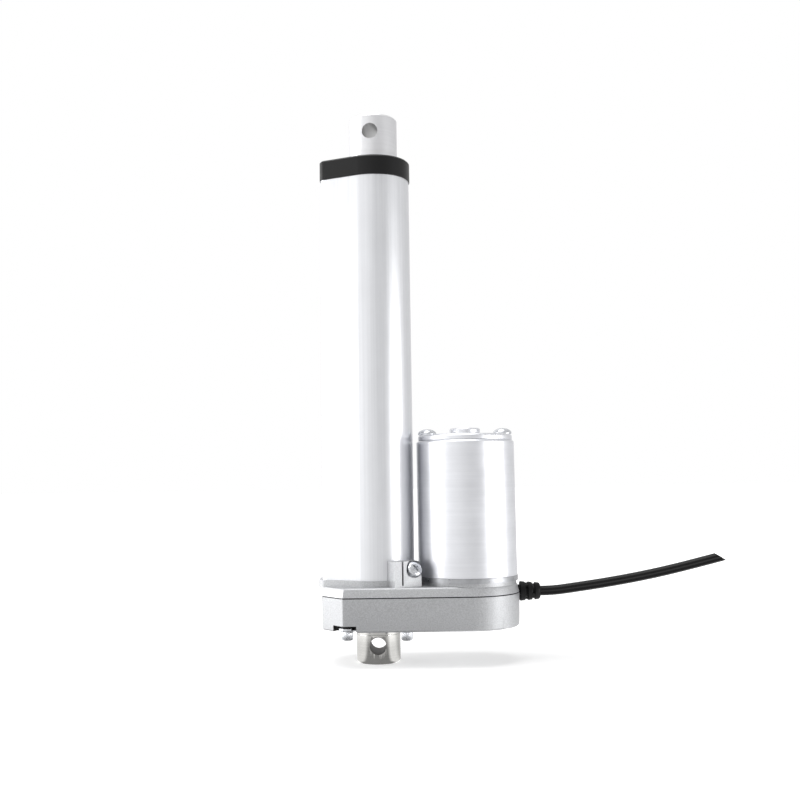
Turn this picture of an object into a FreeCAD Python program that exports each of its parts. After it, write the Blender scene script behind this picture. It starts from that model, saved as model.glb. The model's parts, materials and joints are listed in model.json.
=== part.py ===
import FreeCAD
import Part

import math
import os

# Electric linear actuator with its motor beside the tube.
# Millimetres. The origin is the centre of the rear pin hole on the tube's axis,
# +Z runs along the tube to the rod end, +X runs to the motor.
# The rod is drawn in.

V = FreeCAD.Vector
X_AXIS = V(1, 0, 0)
Y_AXIS = V(0, 1, 0)
Z_AXIS = V(0, 0, 1)
ORIGIN = V(0, 0, 0)

# Lengths along the tube
stroke = 100.0
closed_extra = 105.0
pin_bore = 6.4

# Clearances
running_fit = 0.06
slip_fit = 0.1
seat_gap = 0.1
soft_gap = 0.25

# How far a cut runs past the face that it opens, and the least difference in height
past = 1.0
tiny = 1e-4

# Rod, from which the tube round it takes its size
rod_dia = 20.0
rod_wall = 2.0
rod_to_bore = 3.1
rod_tip = 7.4
rod_tip_chamfer = 0.8
rod_end_turn = -6.0
rod_end_long = 20.0
rod_plug_long = 12.0
rod_shown = 11.4

# Outer tube: round, with tangent flanks that close on a flat nose
tube_wall = 1.5
nose_out = 6.9
flank_angle = 25.0
nose_corner = 2.4
channel_half = 4.4

# Rear clevis
clevis_dia = 17.2
clevis_tip = 7.0
clevis_over_hole = 3.4
clevis_chamfer = 0.9
clevis_groove_over_hole = 0.55
clevis_groove_depth = 0.2
clevis_groove_width = 0.35
clevis_neck_dia = 14.0
clevis_flange_dia = 20.0
clevis_flange_thick = 1.2

# Gearbox shells
housing_high = 12.6
cover_high = 3.6
box_margin = 0.6
box_facet_long = 8.6
box_facet_half = 9.8
box_corner_radius = 1.2
box_inner_corner = 0.4
box_wall = 2.2
box_floor = 2.2
box_roof = 2.4
box_edge = 0.5
box_draft = 0.35
cover_bevel = 0.9
cover_edge = 0.5
gasket_thick = 0.4
gasket_inset = 0.3
wire_gate_edge = 0.5

# Motor
motor_gap = 1.5
can_dia = 39.0
can_wall = 1.2
can_long = 52.8
can_edge = 0.8
pad_step = 0.5
pad_high = 1.2
front_plate_lip = 0.2
front_plate_thick = 1.8
end_cap_step = 0.7
end_cap_thick = 2.3
end_boss_dia = 12.2
end_boss_high = 2.6
end_cap_edge = 0.7
end_boss_edge = 0.5
end_cap_spigot = 1.5
cap_screw_inset = 3.7
cap_screw_head_dia = 7.4
cap_screw_head_high = 2.5
cap_screw_dia = 3.0
cap_screw_dome = [(0.5, 0.0), (0.5, 0.35), (0.42, 0.72), (0.25, 1.0)]
motor_shaft_dia = 3.0
motor_bush_dia = 6.0
motor_bush_long = 5.0
motor_bush_seat = 2.0
motor_boss_dia = 10.0
motor_boss_short = 0.4
mount_screw_inset = 7.0
mount_screw_dia = 2.5
mount_head_dia = 5.0
mount_head_high = 1.6

# Screws under the gearbox
box_screw_x = 11.3
box_screw_inset = 4.5
motor_end_screw_angle = 42.7
motor_end_screw_inset = 2.4
box_screw_dia = 2.5
box_screw_head_dia = 4.3
box_screw_head_high = 3.4
box_screw_bite = 1.2
sunk_head_depth = 0.6
screw_post_dia = 5.2
pocket_radius = 5.4
pocket_high = 2.3
pocket_roof = 1.5
pocket_wall = 1.0
washer_dia = 6.6
washer_thick = 1.1
washer_lift = 1.4

# Tube end cap, with the rod's guide and wiper
cap_overhang = 0.4
cap_high = 8.2
cap_edge = 0.7
cap_plug_long = 9.0
cap_lip = 1.0
guide_wall = 1.5
guide_long = 12.0
wiper_high = 3.0
wiper_lip_high = 0.9
wiper_land = 0.5

# Tube socket and clamp lug on the cover
socket_wall = 2.0
rim_high = 2.3
rim_wall = 1.3
lug_turn = -60.0
lug_out = 5.35
lug_left = 3.5
lug_right = 8.3
lug_high = 9.7
lug_slot = 0.7
lug_slot_floor = 0.6
lug_corner = 1.6
clamp_screw_inset = 3.0
clamp_screw_tilt = 30.0
clamp_screw_dia = 3.0
clamp_screw_long = 4.6
clamp_head_dia = 6.2
clamp_head_high = 2.4
clamp_head_round = 0.7
clamp_sink_dia = 7.2
clamp_sink_deep = 1.5

# Lead screw, nut and bearing
screw_dia = 10.0
screw_journal_dia = 8.0
screw_spigot_dia = 6.0
screw_collar_dia = 12.0
screw_collar_high = 2.0
screw_over_nut = 6.0
screw_end_chamfer = 1.0
nut_rest_gap = 5.1
nut_flange_high = 6.0
nut_long = 26.0
trip_half = 3.0
nut_pin_dia = 3.0
nut_pin_clear = 0.3
bush_wall = 2.0
bush_long = 3.4
race_inner_wall = 1.8
race_outer_wall = 2.2
bearing_wide = 7.0
ball_swell = 1.2
ball_count = 9
bearing_lip = 1.5
retainer_thick = 1.0

# Gear train: motor pinion, wheel and pinion on the idler, gear on the lead screw
motor_pinion_teeth = 12
idler_wheel_teeth = 52
idler_pinion_teeth = 12
screw_gear_teeth = 37
module_ratio = 0.625
tooth_shift = 0.3
tooth_backlash = 0.1
pressure_angle = 20.0
tooth_addendum = 1.0
tooth_dedendum = 1.25
gear_room = 0.5
screw_gear_wide = 4.8
idler_foot = 2.0
idler_wheel_wide = 3.0
motor_pinion_wide = 3.8
motor_pinion_drop = 0.2
idler_axle_dia = 3.0
idler_hub_wall = 1.7
idler_boss_wall = 1.5
axle_sunk = 1.0
drive_pin_dia = 2.0
drive_pin_reach = 3.0
circlip_wall = 1.5
circlip_sunk = 0.4
circlip_thick = 0.8
circlip_mouth = 3.0
spacer_wall = 1.4
gear_dish_deep = 1.2
gear_rim = 2.6
gear_boss_wall = 1.0
wheel_dish_deep = 1.0
wheel_rim = 2.0
wheel_boss_wall = 2.0

# Limit switches in the tube's nose
board_thick = 1.2
board_side_gap = 0.5
board_foot = 4.0
board_past_stroke = 12.0
switch_deep = 2.8
switch_half = 2.9
switch_long = 8.0
switch_button = 0.7
button_half = 0.8
button_long = 2.0

# Motor inside
magnet_thick = 3.4
magnet_arc = 130.0
magnet_turn = 90.0
magnet_over_rotor = 2.0
air_gap = 1.3
rotor_slots = 7
rotor_slot_wide = 2.6
rotor_hub_wall = 4.5
winding_inset = 1.2
winding_over = 4.0
winding_hub_gap = 1.0
commutator_wall = 3.7
commutator_lift = 2.8
commutator_long = 6.4
winding_from_commutator = 1.0
winding_from_bush = 1.6
brush_card_thick = 1.6
brush_wide = 3.0
brush_long = 8.0
brush_high = 4.5
brush_turn = 60.0
brush_gap = 0.05
card_bore_gap = 1.0
shaft_past_pinion = 0.6
lead_dia = 1.3
lead_side = 1.5
lead_bend = 1.6
lead_inset = 6.1

# Cable and its grommet
grommet_dia = 7.6
grommet_tip_dia = 6.4
grommet_long = 8.2
grommet_neck_dia = 5.2
grommet_rib = 0.5
grommet_ribs = 3
grommet_groove_long = 0.9
grommet_end_share = 0.6
grommet_flange_dia = 8.4
grommet_flange_thick = 1.2
grommet_stand_off = 0.15
cable_dia = 3.75
bend_share = 0.45
cable_path = [
    (0.0, 0.0, 0.0),
    (5.0, 0.0, 0.0),
    (13.0, 0.0, 1.0),
    (27.0, 0.3, 2.85),
    (42.0, 0.5, 5.35),
    (57.0, 0.1, 8.55),
    (71.5, -0.5, 12.2),
]

# Sizes across the axis that follow from those above
rod_radius = rod_dia / 2
rod_bore = rod_radius - rod_wall
tube_bore = rod_radius + rod_to_bore
tube_radius = tube_bore + tube_wall
tube_nose = tube_radius + nose_out
channel_back = tube_nose - tube_wall
socket_radius = tube_bore - slip_fit
clevis_radius = clevis_dia / 2
can_radius = can_dia / 2
can_bore = can_radius - can_wall
motor_x = tube_radius + motor_gap + can_radius
pad_radius = can_radius - pad_step
front_plate_radius = can_radius + front_plate_lip
end_cap_radius = can_radius - end_cap_step
cap_screw_reach = end_cap_radius - cap_screw_inset
mount_screw_y = can_radius - mount_screw_inset
lead_x = motor_x + can_radius - lead_inset
rotor_radius = can_bore - magnet_thick - air_gap
winding_radius = rotor_radius - winding_inset
shaft_radius = motor_shaft_dia / 2
rotor_hub_radius = shaft_radius + rotor_hub_wall
commutator_radius = shaft_radius + commutator_wall
box_half_width = can_radius + box_margin
box_left = -tube_nose
box_facet_x = box_left + box_facet_long
box_right = motor_x + box_half_width
box_screw_y = box_half_width - box_screw_inset
motor_end_reach = box_half_width - motor_end_screw_inset
motor_end_screw_x = motor_x + motor_end_reach * math.cos(math.radians(motor_end_screw_angle))
motor_end_screw_y = motor_end_reach * math.sin(math.radians(motor_end_screw_angle))
box_screws = [(sx * box_screw_x, sy * box_screw_y) for sx in (-1, 1) for sy in (-1, 1)]
pocket_screws = [(x, y) for x, y in box_screws if x < 0]
motor_end_screws = [(motor_end_screw_x, sy * motor_end_screw_y) for sy in (-1, 1)]
lug_reach = tube_radius + lug_out
clamp_screw_side = lug_right - clamp_screw_inset
bearing_radius = socket_radius - socket_wall
journal_radius = screw_journal_dia / 2
inner_race_radius = journal_radius + race_inner_wall
outer_race_bore = bearing_radius - race_outer_wall
ball_track = (outer_race_bore + inner_race_radius) / 2
ball_radius = (outer_race_bore - inner_race_radius) / 2 * ball_swell
axle_radius = idler_axle_dia / 2
idler_hub_radius = axle_radius + idler_hub_wall
axle_boss_radius = axle_radius + idler_boss_wall
drive_pin_half = journal_radius + drive_pin_reach
circlip_radius = journal_radius + circlip_wall
board_half = channel_half - board_side_gap
board_front = channel_back - slip_fit - board_thick
switch_front = board_front - switch_deep
button_front = switch_front - switch_button
trip_front = button_front - seat_gap * 2

# The gear modules share out the distance between the screw and the motor
coarse_teeth = (screw_gear_teeth + idler_pinion_teeth) / 2
fine_teeth = (idler_wheel_teeth + motor_pinion_teeth) / 2
coarse_module = motor_x / (coarse_teeth + module_ratio * fine_teeth)
fine_module = coarse_module * module_ratio
idler_x = coarse_module * coarse_teeth
screw_gear_radius = coarse_module * screw_gear_teeth / 2
idler_wheel_radius = fine_module * idler_wheel_teeth / 2

# Heights that follow from those above
hole_to_hole = stroke + closed_extra
box_bottom = pin_bore / 2 + clevis_over_hole
floor_top = box_bottom + box_floor
box_parting = box_bottom + housing_high
box_top = box_parting + cover_high
roof_bottom = box_top - box_roof
housing_top = box_parting - gasket_thick / 2
cover_bottom = box_parting + gasket_thick / 2
flange_top = floor_top + clevis_flange_thick
bush_bottom = flange_top - bush_long
clevis_groove_z = pin_bore / 2 + clevis_groove_over_hole
pocket_top = box_bottom + pocket_high
washer_top = box_bottom + washer_lift
sunk_seat = box_bottom + box_screw_head_high
screw_shank_top = roof_bottom + box_screw_bite
pad_top = box_top + pad_high
front_plate_top = pad_top + front_plate_thick
can_top = front_plate_top + can_long
end_cap_top = can_top + end_cap_thick
tube_foot = box_top
cap_top = hole_to_hole - rod_shown
tube_top = cap_top - cap_high
rod_end_top = hole_to_hole + rod_tip
rod_end_bottom = rod_end_top - rod_end_long
bearing_bottom = roof_bottom + bearing_lip
bearing_top = bearing_bottom + bearing_wide
nut_bottom = bearing_top + nut_rest_gap
nut_top = nut_bottom + nut_long
rod_bottom = nut_bottom + nut_flange_high
nut_pin_z = (rod_bottom + nut_top) / 2
upper_switch_z = nut_bottom + stroke
screw_top = nut_top + stroke + screw_over_nut
lug_top = box_top + lug_high
clamp_screw_z = lug_top - clamp_screw_inset
screw_gear_z = flange_top + gear_room + circlip_thick
screw_gear_top = screw_gear_z + screw_gear_wide
idler_pinion_z = floor_top + idler_foot
idler_wheel_z = screw_gear_top + gear_room - seat_gap
idler_wheel_top = idler_wheel_z + idler_wheel_wide
motor_pinion_z = idler_wheel_z - motor_pinion_drop
motor_pinion_top = motor_pinion_z + motor_pinion_wide
motor_boss_low = roof_bottom + motor_boss_short
motor_bush_low = can_top - motor_bush_long
guide_bottom = tube_top - cap_plug_long + cap_lip
guide_top = guide_bottom + guide_long
board_bottom = nut_bottom - board_foot
board_top = nut_bottom + stroke + nut_flange_high + board_past_stroke
card_top = front_plate_top + brush_card_thick
commutator_low = front_plate_top + commutator_lift
commutator_top = commutator_low + commutator_long
winding_low = commutator_top + winding_from_commutator
winding_high = motor_bush_low - winding_from_bush
rotor_low = winding_low + winding_over
rotor_high = winding_high - winding_over
magnet_low = rotor_low - magnet_over_rotor
magnet_high = rotor_high + magnet_over_rotor


# Shapes that are used again and again

def cyl(radius, low, high, x=0.0, y=0.0):
    return Part.makeCylinder(radius, high - low, V(x, y, low), Z_AXIS)


def ring(outer, inner, low, high, x=0.0, y=0.0):
    return cyl(outer, low, high, x, y).cut(cyl(inner, low, high, x, y))


def box(low, high):
    size = [b - a for a, b in zip(low, high)]
    return Part.makeBox(size[0], size[1], size[2], V(*low))


def rounded_wire(corners, z):
    """A closed wire through corners (x, y, radius), each rounded by its own arc."""
    ends = []
    count = len(corners)
    for i, (x, y, radius) in enumerate(corners):
        here = V(x, y, z)
        before = V(corners[i - 1][0], corners[i - 1][1], z)
        after = V(corners[(i + 1) % count][0], corners[(i + 1) % count][1], z)
        to_before = (before - here).normalize()
        to_after = (after - here).normalize()
        half = to_before.getAngle(to_after) / 2
        reach = radius / math.tan(half)
        middle = (to_before + to_after).normalize()
        centre = here + middle * (radius / math.sin(half))
        ends.append((here + to_before * reach, centre - middle * radius, here + to_after * reach))
    edges = []
    for i, (start, mid, end) in enumerate(ends):
        edges.append(Part.Arc(start, mid, end).toShape())
        following = ends[(i + 1) % count][0]
        if end.distanceToPoint(following) > 1e-6:
            edges.append(Part.LineSegment(end, following).toShape())
    return Part.Wire(edges)


def prism(wire, high):
    """The solid that the flat wire sweeps up to the height z = high."""
    low = wire.BoundBox.ZMin
    return Part.Face(wire).extrude(V(0, 0, high - low))


def gearbox_outline(inset, z):
    """The shells' outline seen from above, moved inwards by inset."""
    width = box_half_width - inset
    left = box_left + inset
    length = math.hypot(box_facet_x - box_left, box_half_width - box_facet_half)
    nx = (box_half_width - box_facet_half) / length
    ny = (box_facet_x - box_left) / length
    reach = nx * box_facet_x - ny * box_half_width
    facet_x = (reach + inset + ny * width) / nx
    facet_y = (nx * left - reach - inset) / ny
    corner = max(box_corner_radius - inset, box_inner_corner)
    return rounded_wire([
        (facet_x, -width, corner),
        (box_right - inset, -width, width),
        (box_right - inset, width, width),
        (facet_x, width, corner),
        (left, facet_y, corner),
        (left, -facet_y, corner),
    ], z)


def stacked(sections):
    """A solid through gearbox outlines given as (height, inset)."""
    return Part.makeLoft([gearbox_outline(inset, z) for z, inset in sections], True, True)


def teardrop(grow, z):
    """The tube's outline, grown outwards by grow: an arc, two flanks and a nose."""
    radius = tube_radius + grow
    nose = tube_nose + grow
    slope = math.radians(flank_angle)
    touch = V(-radius * math.sin(slope), -radius * math.cos(slope), z)
    nose_y = -touch.y - (nose + touch.x) * math.tan(slope)
    corner = nose_corner + grow
    inner = math.radians(90 + flank_angle) / 2
    reach = corner / math.tan(inner)
    flank_end = V(-nose + reach * math.cos(slope), -nose_y - reach * math.sin(slope), z)
    flat_end = V(-nose, -nose_y + reach, z)
    centre = V(-nose + corner, -nose_y + reach, z)
    to_corner = (V(-nose, -nose_y, z) - centre).normalize()
    bend = centre + to_corner * corner

    def across(point):
        return V(point.x, -point.y, point.z)

    return Part.Wire([
        Part.Arc(touch, V(radius, 0, z), across(touch)).toShape(),
        Part.LineSegment(across(touch), across(flank_end)).toShape(),
        Part.Arc(across(flank_end), across(bend), across(flat_end)).toShape(),
        Part.LineSegment(across(flat_end), flat_end).toShape(),
        Part.Arc(flat_end, bend, flank_end).toShape(),
        Part.LineSegment(flank_end, touch).toShape(),
    ])


def involute(angle):
    return math.tan(angle) - angle


def gear(teeth, module, shift, low, high, x, turn):
    """A spur gear about (x, 0); turn is the angle of the middle of one tooth."""
    alpha = math.radians(pressure_angle)
    pitch = module * teeth / 2
    base = pitch * math.cos(alpha)
    tip = pitch + module * (tooth_addendum + shift)
    root = pitch - module * (tooth_dedendum - shift)
    thick = module * (math.pi / 2 + 2 * shift * math.tan(alpha)) - tooth_backlash
    start = max(root, base)
    flank = [(radius, thick / (2 * pitch) + involute(alpha) - involute(math.acos(base / radius)))
             for radius in (start, (start + 2 * pitch) / 3, (pitch + tip) / 2, tip)]
    if root < base:
        flank = [(root, flank[0][1])] + flank
    step = 2 * math.pi / teeth

    def at(radius, angle):
        return V(x + radius * math.cos(angle), radius * math.sin(angle), low)

    points = []
    for i in range(teeth):
        middle = math.radians(turn) + i * step
        points += [at(radius, middle - half) for radius, half in flank]
        points += [at(radius, middle + half) for radius, half in reversed(flank)]
    return prism(Part.makePolygon(points + points[:1]), high)


def across_y(radius, z, half_long, turn=0.0):
    """A cylinder lying across the axis at height z, turned about Z."""
    bar = Part.makeCylinder(radius, 2 * half_long, V(0, -half_long, z), Y_AXIS)
    bar.rotate(ORIGIN, Z_AXIS, turn)
    return bar


def chamfered_rod(radius, low, high, chamfer, at_top):
    """A round bar with one end chamfered."""
    if at_top:
        profile = [(0, low), (radius, low), (radius, high - chamfer), (radius - chamfer, high), (0, high)]
    else:
        profile = [(0, low), (radius - chamfer, low), (radius, low + chamfer), (radius, high), (0, high)]
    return turned(profile)


def turned(profile, x=0.0):
    """A solid turned about a line along Z at x, from (radius, height) points."""
    points = [V(x + radius, 0, z) for radius, z in profile]
    face = Part.Face(Part.makePolygon(points + points[:1]))
    return face.revolve(V(x, 0, 0), Z_AXIS, 360)


def in_lug(shape):
    """Turns a shape from the lug's own directions to its place on the cover."""
    shape.rotate(ORIGIN, Z_AXIS, lug_turn)
    return shape


# Foot of the actuator

def rear_clevis():
    lug = chamfered_rod(clevis_radius, -clevis_tip, box_bottom, clevis_chamfer, False)
    groove = ring(clevis_radius + past, clevis_radius - clevis_groove_depth,
                  clevis_groove_z, clevis_groove_z + clevis_groove_width)
    neck = cyl(clevis_neck_dia / 2, box_bottom, floor_top)
    flange = cyl(clevis_flange_dia / 2, floor_top, flange_top)
    seat = cyl(screw_spigot_dia / 2 + bush_wall, bush_bottom, flange_top)
    return lug.cut(groove).fuse([neck, flange]).removeSplitter() \
        .cut(across_y(pin_bore / 2, 0, clevis_dia)).cut(seat)


def clevis_bush():
    return ring(screw_spigot_dia / 2 + bush_wall, screw_spigot_dia / 2 + running_fit,
                bush_bottom, flange_top)


# Gearbox shells

def gearbox_housing():
    outer = stacked([(box_bottom, box_draft + box_edge), (box_bottom + box_edge, box_draft),
                     (housing_top, 0.0)])
    for x, y in pocket_screws:
        outer = outer.cut(cyl(pocket_radius, box_bottom - past, pocket_top, x, y))
    inside = prism(gearbox_outline(box_wall, floor_top), housing_top)
    for x, y in box_screws + motor_end_screws:
        inside = inside.cut(cyl(screw_post_dia / 2, floor_top, housing_top, x, y))
    for x, y in pocket_screws:
        inside = inside.cut(cyl(pocket_radius + pocket_wall, floor_top, pocket_top + pocket_roof, x, y))
    axle_boss = cyl(axle_boss_radius, floor_top, idler_pinion_z - seat_gap, idler_x)
    shell = outer.cut(inside.cut(axle_boss))
    for x, y in pocket_screws:
        shell = shell.fuse(cyl(screw_post_dia / 2, washer_top, pocket_top, x, y))
    for x, y in box_screws + motor_end_screws:
        shell = shell.cut(cyl(box_screw_dia / 2 + slip_fit, box_bottom - past, housing_top, x, y))
    for x, y in motor_end_screws:
        shell = shell.cut(cyl(box_screw_head_dia / 2 + slip_fit, box_bottom - past, sunk_seat, x, y))
    shell = shell.cut(cyl(clevis_neck_dia / 2, box_bottom, floor_top))
    shell = shell.cut(cyl(axle_radius, floor_top - axle_sunk, idler_pinion_z, idler_x))
    return shell.cut(cable_passage())


def cable_passage():
    """The round hole for the grommet's neck through both shells at the parting line."""
    inner = V(grommet_seat(), 0, box_parting)
    return Part.makeCylinder(grommet_neck_dia / 2, box_right + past - inner.x, inner, X_AXIS)


def housing_gasket():
    outer = prism(gearbox_outline(gasket_inset, housing_top), cover_bottom)
    inside = prism(gearbox_outline(box_wall, housing_top), cover_bottom)
    for x, y in box_screws + motor_end_screws:
        inside = inside.cut(cyl(screw_post_dia / 2, housing_top, cover_bottom, x, y))
    sheet = outer.cut(inside)
    for x, y in box_screws + motor_end_screws:
        sheet = sheet.cut(cyl(box_screw_dia / 2 + slip_fit, housing_top, cover_bottom, x, y))
    return sheet.cut(cable_passage())


def gearbox_cover():
    shell = stacked([(cover_bottom, 0.0), (box_top - cover_edge, cover_bevel),
                     (box_top, cover_bevel + cover_edge)])
    inside = prism(gearbox_outline(box_wall, cover_bottom), roof_bottom)
    for x, y in box_screws + motor_end_screws:
        inside = inside.cut(cyl(screw_post_dia / 2, cover_bottom, roof_bottom, x, y))
    shell = shell.cut(inside)
    shell = shell.fuse([
        cyl(pad_radius, box_top - past, pad_top, motor_x),
        socket_rim(),
        cyl(socket_radius, box_top - past, bearing_top),
        cyl(axle_boss_radius, idler_wheel_top + seat_gap, roof_bottom, idler_x),
    ])
    shell = shell.fuse(clamp_lug())
    shell = shell.cut(cyl(bearing_radius, bearing_bottom, bearing_top))
    shell = shell.cut(cyl(bearing_radius - bearing_lip, roof_bottom - past, bearing_bottom))
    shell = shell.cut(cyl(motor_boss_dia / 2, roof_bottom - past, pad_top, motor_x))
    shell = shell.cut(cyl(axle_radius, idler_wheel_top, roof_bottom + axle_sunk, idler_x))
    for x, y in box_screws + motor_end_screws:
        shell = shell.cut(cyl(box_screw_dia / 2, cover_bottom - past, screw_shank_top, x, y))
    for side in (-1, 1):
        y = side * mount_screw_y
        shell = shell.cut(cyl(mount_screw_dia / 2, roof_bottom - past, pad_top, motor_x, y))
    shell = shell.cut(lead_slot(roof_bottom - past, pad_top))
    shell = shell.cut(wire_gate())
    return shell.cut(cable_passage())


def wire_gate():
    """The opening under the tube's nose that the limit switch board's wires pass."""
    return box((-channel_back + wire_gate_edge, -trip_half, roof_bottom - past),
               (-socket_radius - wire_gate_edge, trip_half, box_top + past))


def lead_slot(low, high):
    """The slot that lets the motor's two leads down into the gearbox."""
    half = lead_side + lead_dia
    return box((lead_x - lead_dia, -half, low), (lead_x + lead_dia, half, high))


def socket_rim():
    """The low collar of the cover round the tube's foot, cut back beside the motor."""
    outside = prism(teardrop(rim_wall + slip_fit, box_top - cover_edge), box_top + rim_high)
    inside = prism(teardrop(slip_fit, box_top), box_top + rim_high)
    beside_motor = cyl(front_plate_radius + soft_gap, box_top, box_top + rim_high, motor_x)
    return outside.cut(inside).cut(beside_motor)


def clamp_lug():
    """The split lug of the tube clamp, with a slanted seat for its screw."""
    corner = lug_corner
    outline = Part.Wire([
        Part.LineSegment(V(0, -lug_left, box_top - past), V(0, lug_right, box_top - past)).toShape(),
        Part.LineSegment(V(0, lug_right, box_top - past), V(0, lug_right, lug_top - corner)).toShape(),
        Part.Arc(V(0, lug_right, lug_top - corner),
                 V(0, lug_right - corner * (1 - math.cos(math.pi / 4)),
                   lug_top - corner * (1 - math.sin(math.pi / 4))),
                 V(0, lug_right - corner, lug_top)).toShape(),
        Part.LineSegment(V(0, lug_right - corner, lug_top), V(0, -lug_left, lug_top)).toShape(),
        Part.LineSegment(V(0, -lug_left, lug_top), V(0, -lug_left, box_top - past)).toShape(),
    ])
    lug = Part.Face(outline).extrude(V(lug_reach, 0, 0))
    slot = box((0, -lug_slot / 2, box_top + lug_slot_floor), (lug_reach + past, lug_slot / 2, lug_top + past))
    seat = clamp_cylinder(clamp_sink_dia / 2, -clamp_sink_deep, clamp_head_dia)
    shank = clamp_cylinder(clamp_screw_dia / 2 + slip_fit, -clamp_screw_long, 0)
    lug = in_lug(lug.cut(slot).cut(seat).cut(shank))
    return lug.cut(cyl(tube_radius + slip_fit, box_top, lug_top + past)).cut(
        cyl(front_plate_radius + soft_gap, box_top, lug_top + past, motor_x))


def clamp_cylinder(radius, low, high):
    """A cylinder on the slanted clamp screw's line, from low to high along it."""
    tilt = math.radians(clamp_screw_tilt)
    along = V(math.cos(tilt), 0, math.sin(tilt))
    centre = V(lug_reach, clamp_screw_side, clamp_screw_z)
    return Part.makeCylinder(radius, high - low, centre + along * low, along)


def tube_clamp_screw():
    head = clamp_cylinder(clamp_head_dia / 2, -clamp_sink_deep, clamp_head_high - clamp_sink_deep)
    rim = [edge for edge in head.Edges if edge.Curve.TypeId == "Part::GeomCircle"]
    top = max(rim, key=lambda edge: edge.CenterOfMass.x)
    head = head.makeFillet(clamp_head_round, [top])
    shank = clamp_cylinder(clamp_screw_dia / 2, -clamp_screw_long, -clamp_sink_deep)
    return in_lug(head.fuse(shank))


def housing_screws():
    screws = []
    for x, y in box_screws:
        seat = head_seat(x)
        head = cyl(box_screw_head_dia / 2, seat - box_screw_head_high, seat, x, y)
        screws.append(head.fuse(cyl(box_screw_dia / 2, seat, screw_shank_top, x, y)))
    for x, y in motor_end_screws:
        head = cyl(box_screw_head_dia / 2, box_bottom + sunk_head_depth, sunk_seat, x, y)
        screws.append(head.fuse(cyl(box_screw_dia / 2, sunk_seat, screw_shank_top, x, y)))
    return Part.Compound(screws)


def screw_washers():
    hole = box_screw_dia / 2 + slip_fit
    washers = [ring(washer_dia / 2, hole, head_seat(x), washer_top, x, y) for x, y in pocket_screws]
    return Part.Compound(washers)


def head_seat(x):
    """Where a screw's head bears: on a washer in the two pockets, else on the shell."""
    return washer_top - washer_thick if x < 0 else box_bottom


# Tube and end cap

def tube_hollow(clear, low, high):
    """The inside of the tube: its round bore and the channel in its nose."""
    bore = cyl(tube_bore - clear, low, high)
    channel = box((-channel_back + clear, -channel_half + clear, low), (0, channel_half - clear, high))
    return bore.fuse(channel)


def outer_tube():
    return prism(teardrop(0.0, tube_foot), tube_top).cut(tube_hollow(0.0, tube_foot, tube_top))


def tube_end_cap():
    head = prism(teardrop(cap_overhang, tube_top), cap_top)
    upper = [edge for edge in head.Edges
             if edge.BoundBox.ZMin > cap_top - tiny]
    head = head.makeChamfer(cap_edge, upper)
    plug = tube_hollow(slip_fit, tube_top - cap_plug_long, tube_top)
    seat = cyl(rod_radius + guide_wall, guide_bottom, cap_top)
    return head.fuse(plug).cut(seat).cut(cyl(rod_radius + soft_gap, tube_top - cap_plug_long, cap_top))


def rod_guide_bush():
    return ring(rod_radius + guide_wall, rod_radius + running_fit, guide_bottom, guide_top)


def rod_wiper():
    top = guide_top + wiper_high
    return turned([
        (rod_radius + guide_wall, guide_top),
        (rod_radius + guide_wall, top),
        (rod_radius + guide_wall - wiper_land, top),
        (rod_radius + running_fit, top + wiper_lip_high),
        (rod_radius + running_fit, guide_top),
    ])


# Rod, which slides

def rod_tube():
    tube = ring(rod_radius, rod_bore, rod_bottom, rod_end_bottom)
    return tube.cut(nut_pin_holes())


def nut_pin_holes():
    return across_y(nut_pin_dia / 2, nut_pin_z, rod_dia)


def rod_end():
    head = chamfered_rod(rod_radius, rod_end_bottom, rod_end_top, rod_tip_chamfer, True)
    plug = cyl(rod_bore, rod_end_bottom - rod_plug_long, rod_end_bottom)
    return head.fuse(plug).cut(across_y(pin_bore / 2, hole_to_hole, rod_dia, rod_end_turn))


def drive_nut():
    flange = cyl(tube_bore - slip_fit, nut_bottom, rod_bottom)
    trip = box((-trip_front, -trip_half, nut_bottom), (0, trip_half, rod_bottom))
    sleeve = cyl(rod_bore, rod_bottom, nut_top)
    bore = cyl(screw_dia / 2 + slip_fit, nut_bottom, nut_top)
    return flange.fuse([trip, sleeve]).cut(bore).cut(nut_pin_holes())


def nut_pins():
    """Two short pins that hold the nut in the rod, each clear of the lead screw."""
    long = rod_radius - seat_gap - screw_dia / 2 - nut_pin_clear
    pins = []
    for side in (-1, 1):
        outer = V(0, side * (rod_radius - seat_gap), nut_pin_z)
        pins.append(Part.makeCylinder(nut_pin_dia / 2, long, outer, Y_AXIS * -side))
    return Part.Compound(pins)


# Lead screw and its gear, which turn together

def lead_screw():
    collar_top = bearing_top + screw_collar_high
    spigot = screw_spigot_dia / 2
    journal = journal_radius
    spigot_top = flange_top + seat_gap
    shaft = turned([
        (0, bush_bottom + seat_gap),
        (spigot, bush_bottom + seat_gap),
        (spigot, spigot_top),
        (journal, spigot_top),
        (journal, bearing_top),
        (screw_collar_dia / 2, bearing_top),
        (screw_collar_dia / 2, collar_top),
        (screw_dia / 2, collar_top),
        (screw_dia / 2, screw_top - screw_end_chamfer),
        (screw_dia / 2 - screw_end_chamfer, screw_top),
        (0, screw_top),
    ])
    return shaft.cut(drive_pin(0)).cut(circlip_body())


def drive_pin(clear):
    """The cross pin through the lead screw that turns the gear."""
    z = screw_gear_z + drive_pin_dia / 2
    return across_y(drive_pin_dia / 2 + clear, z, drive_pin_half + clear)


def gear_drive_pin():
    return drive_pin(0)


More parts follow.
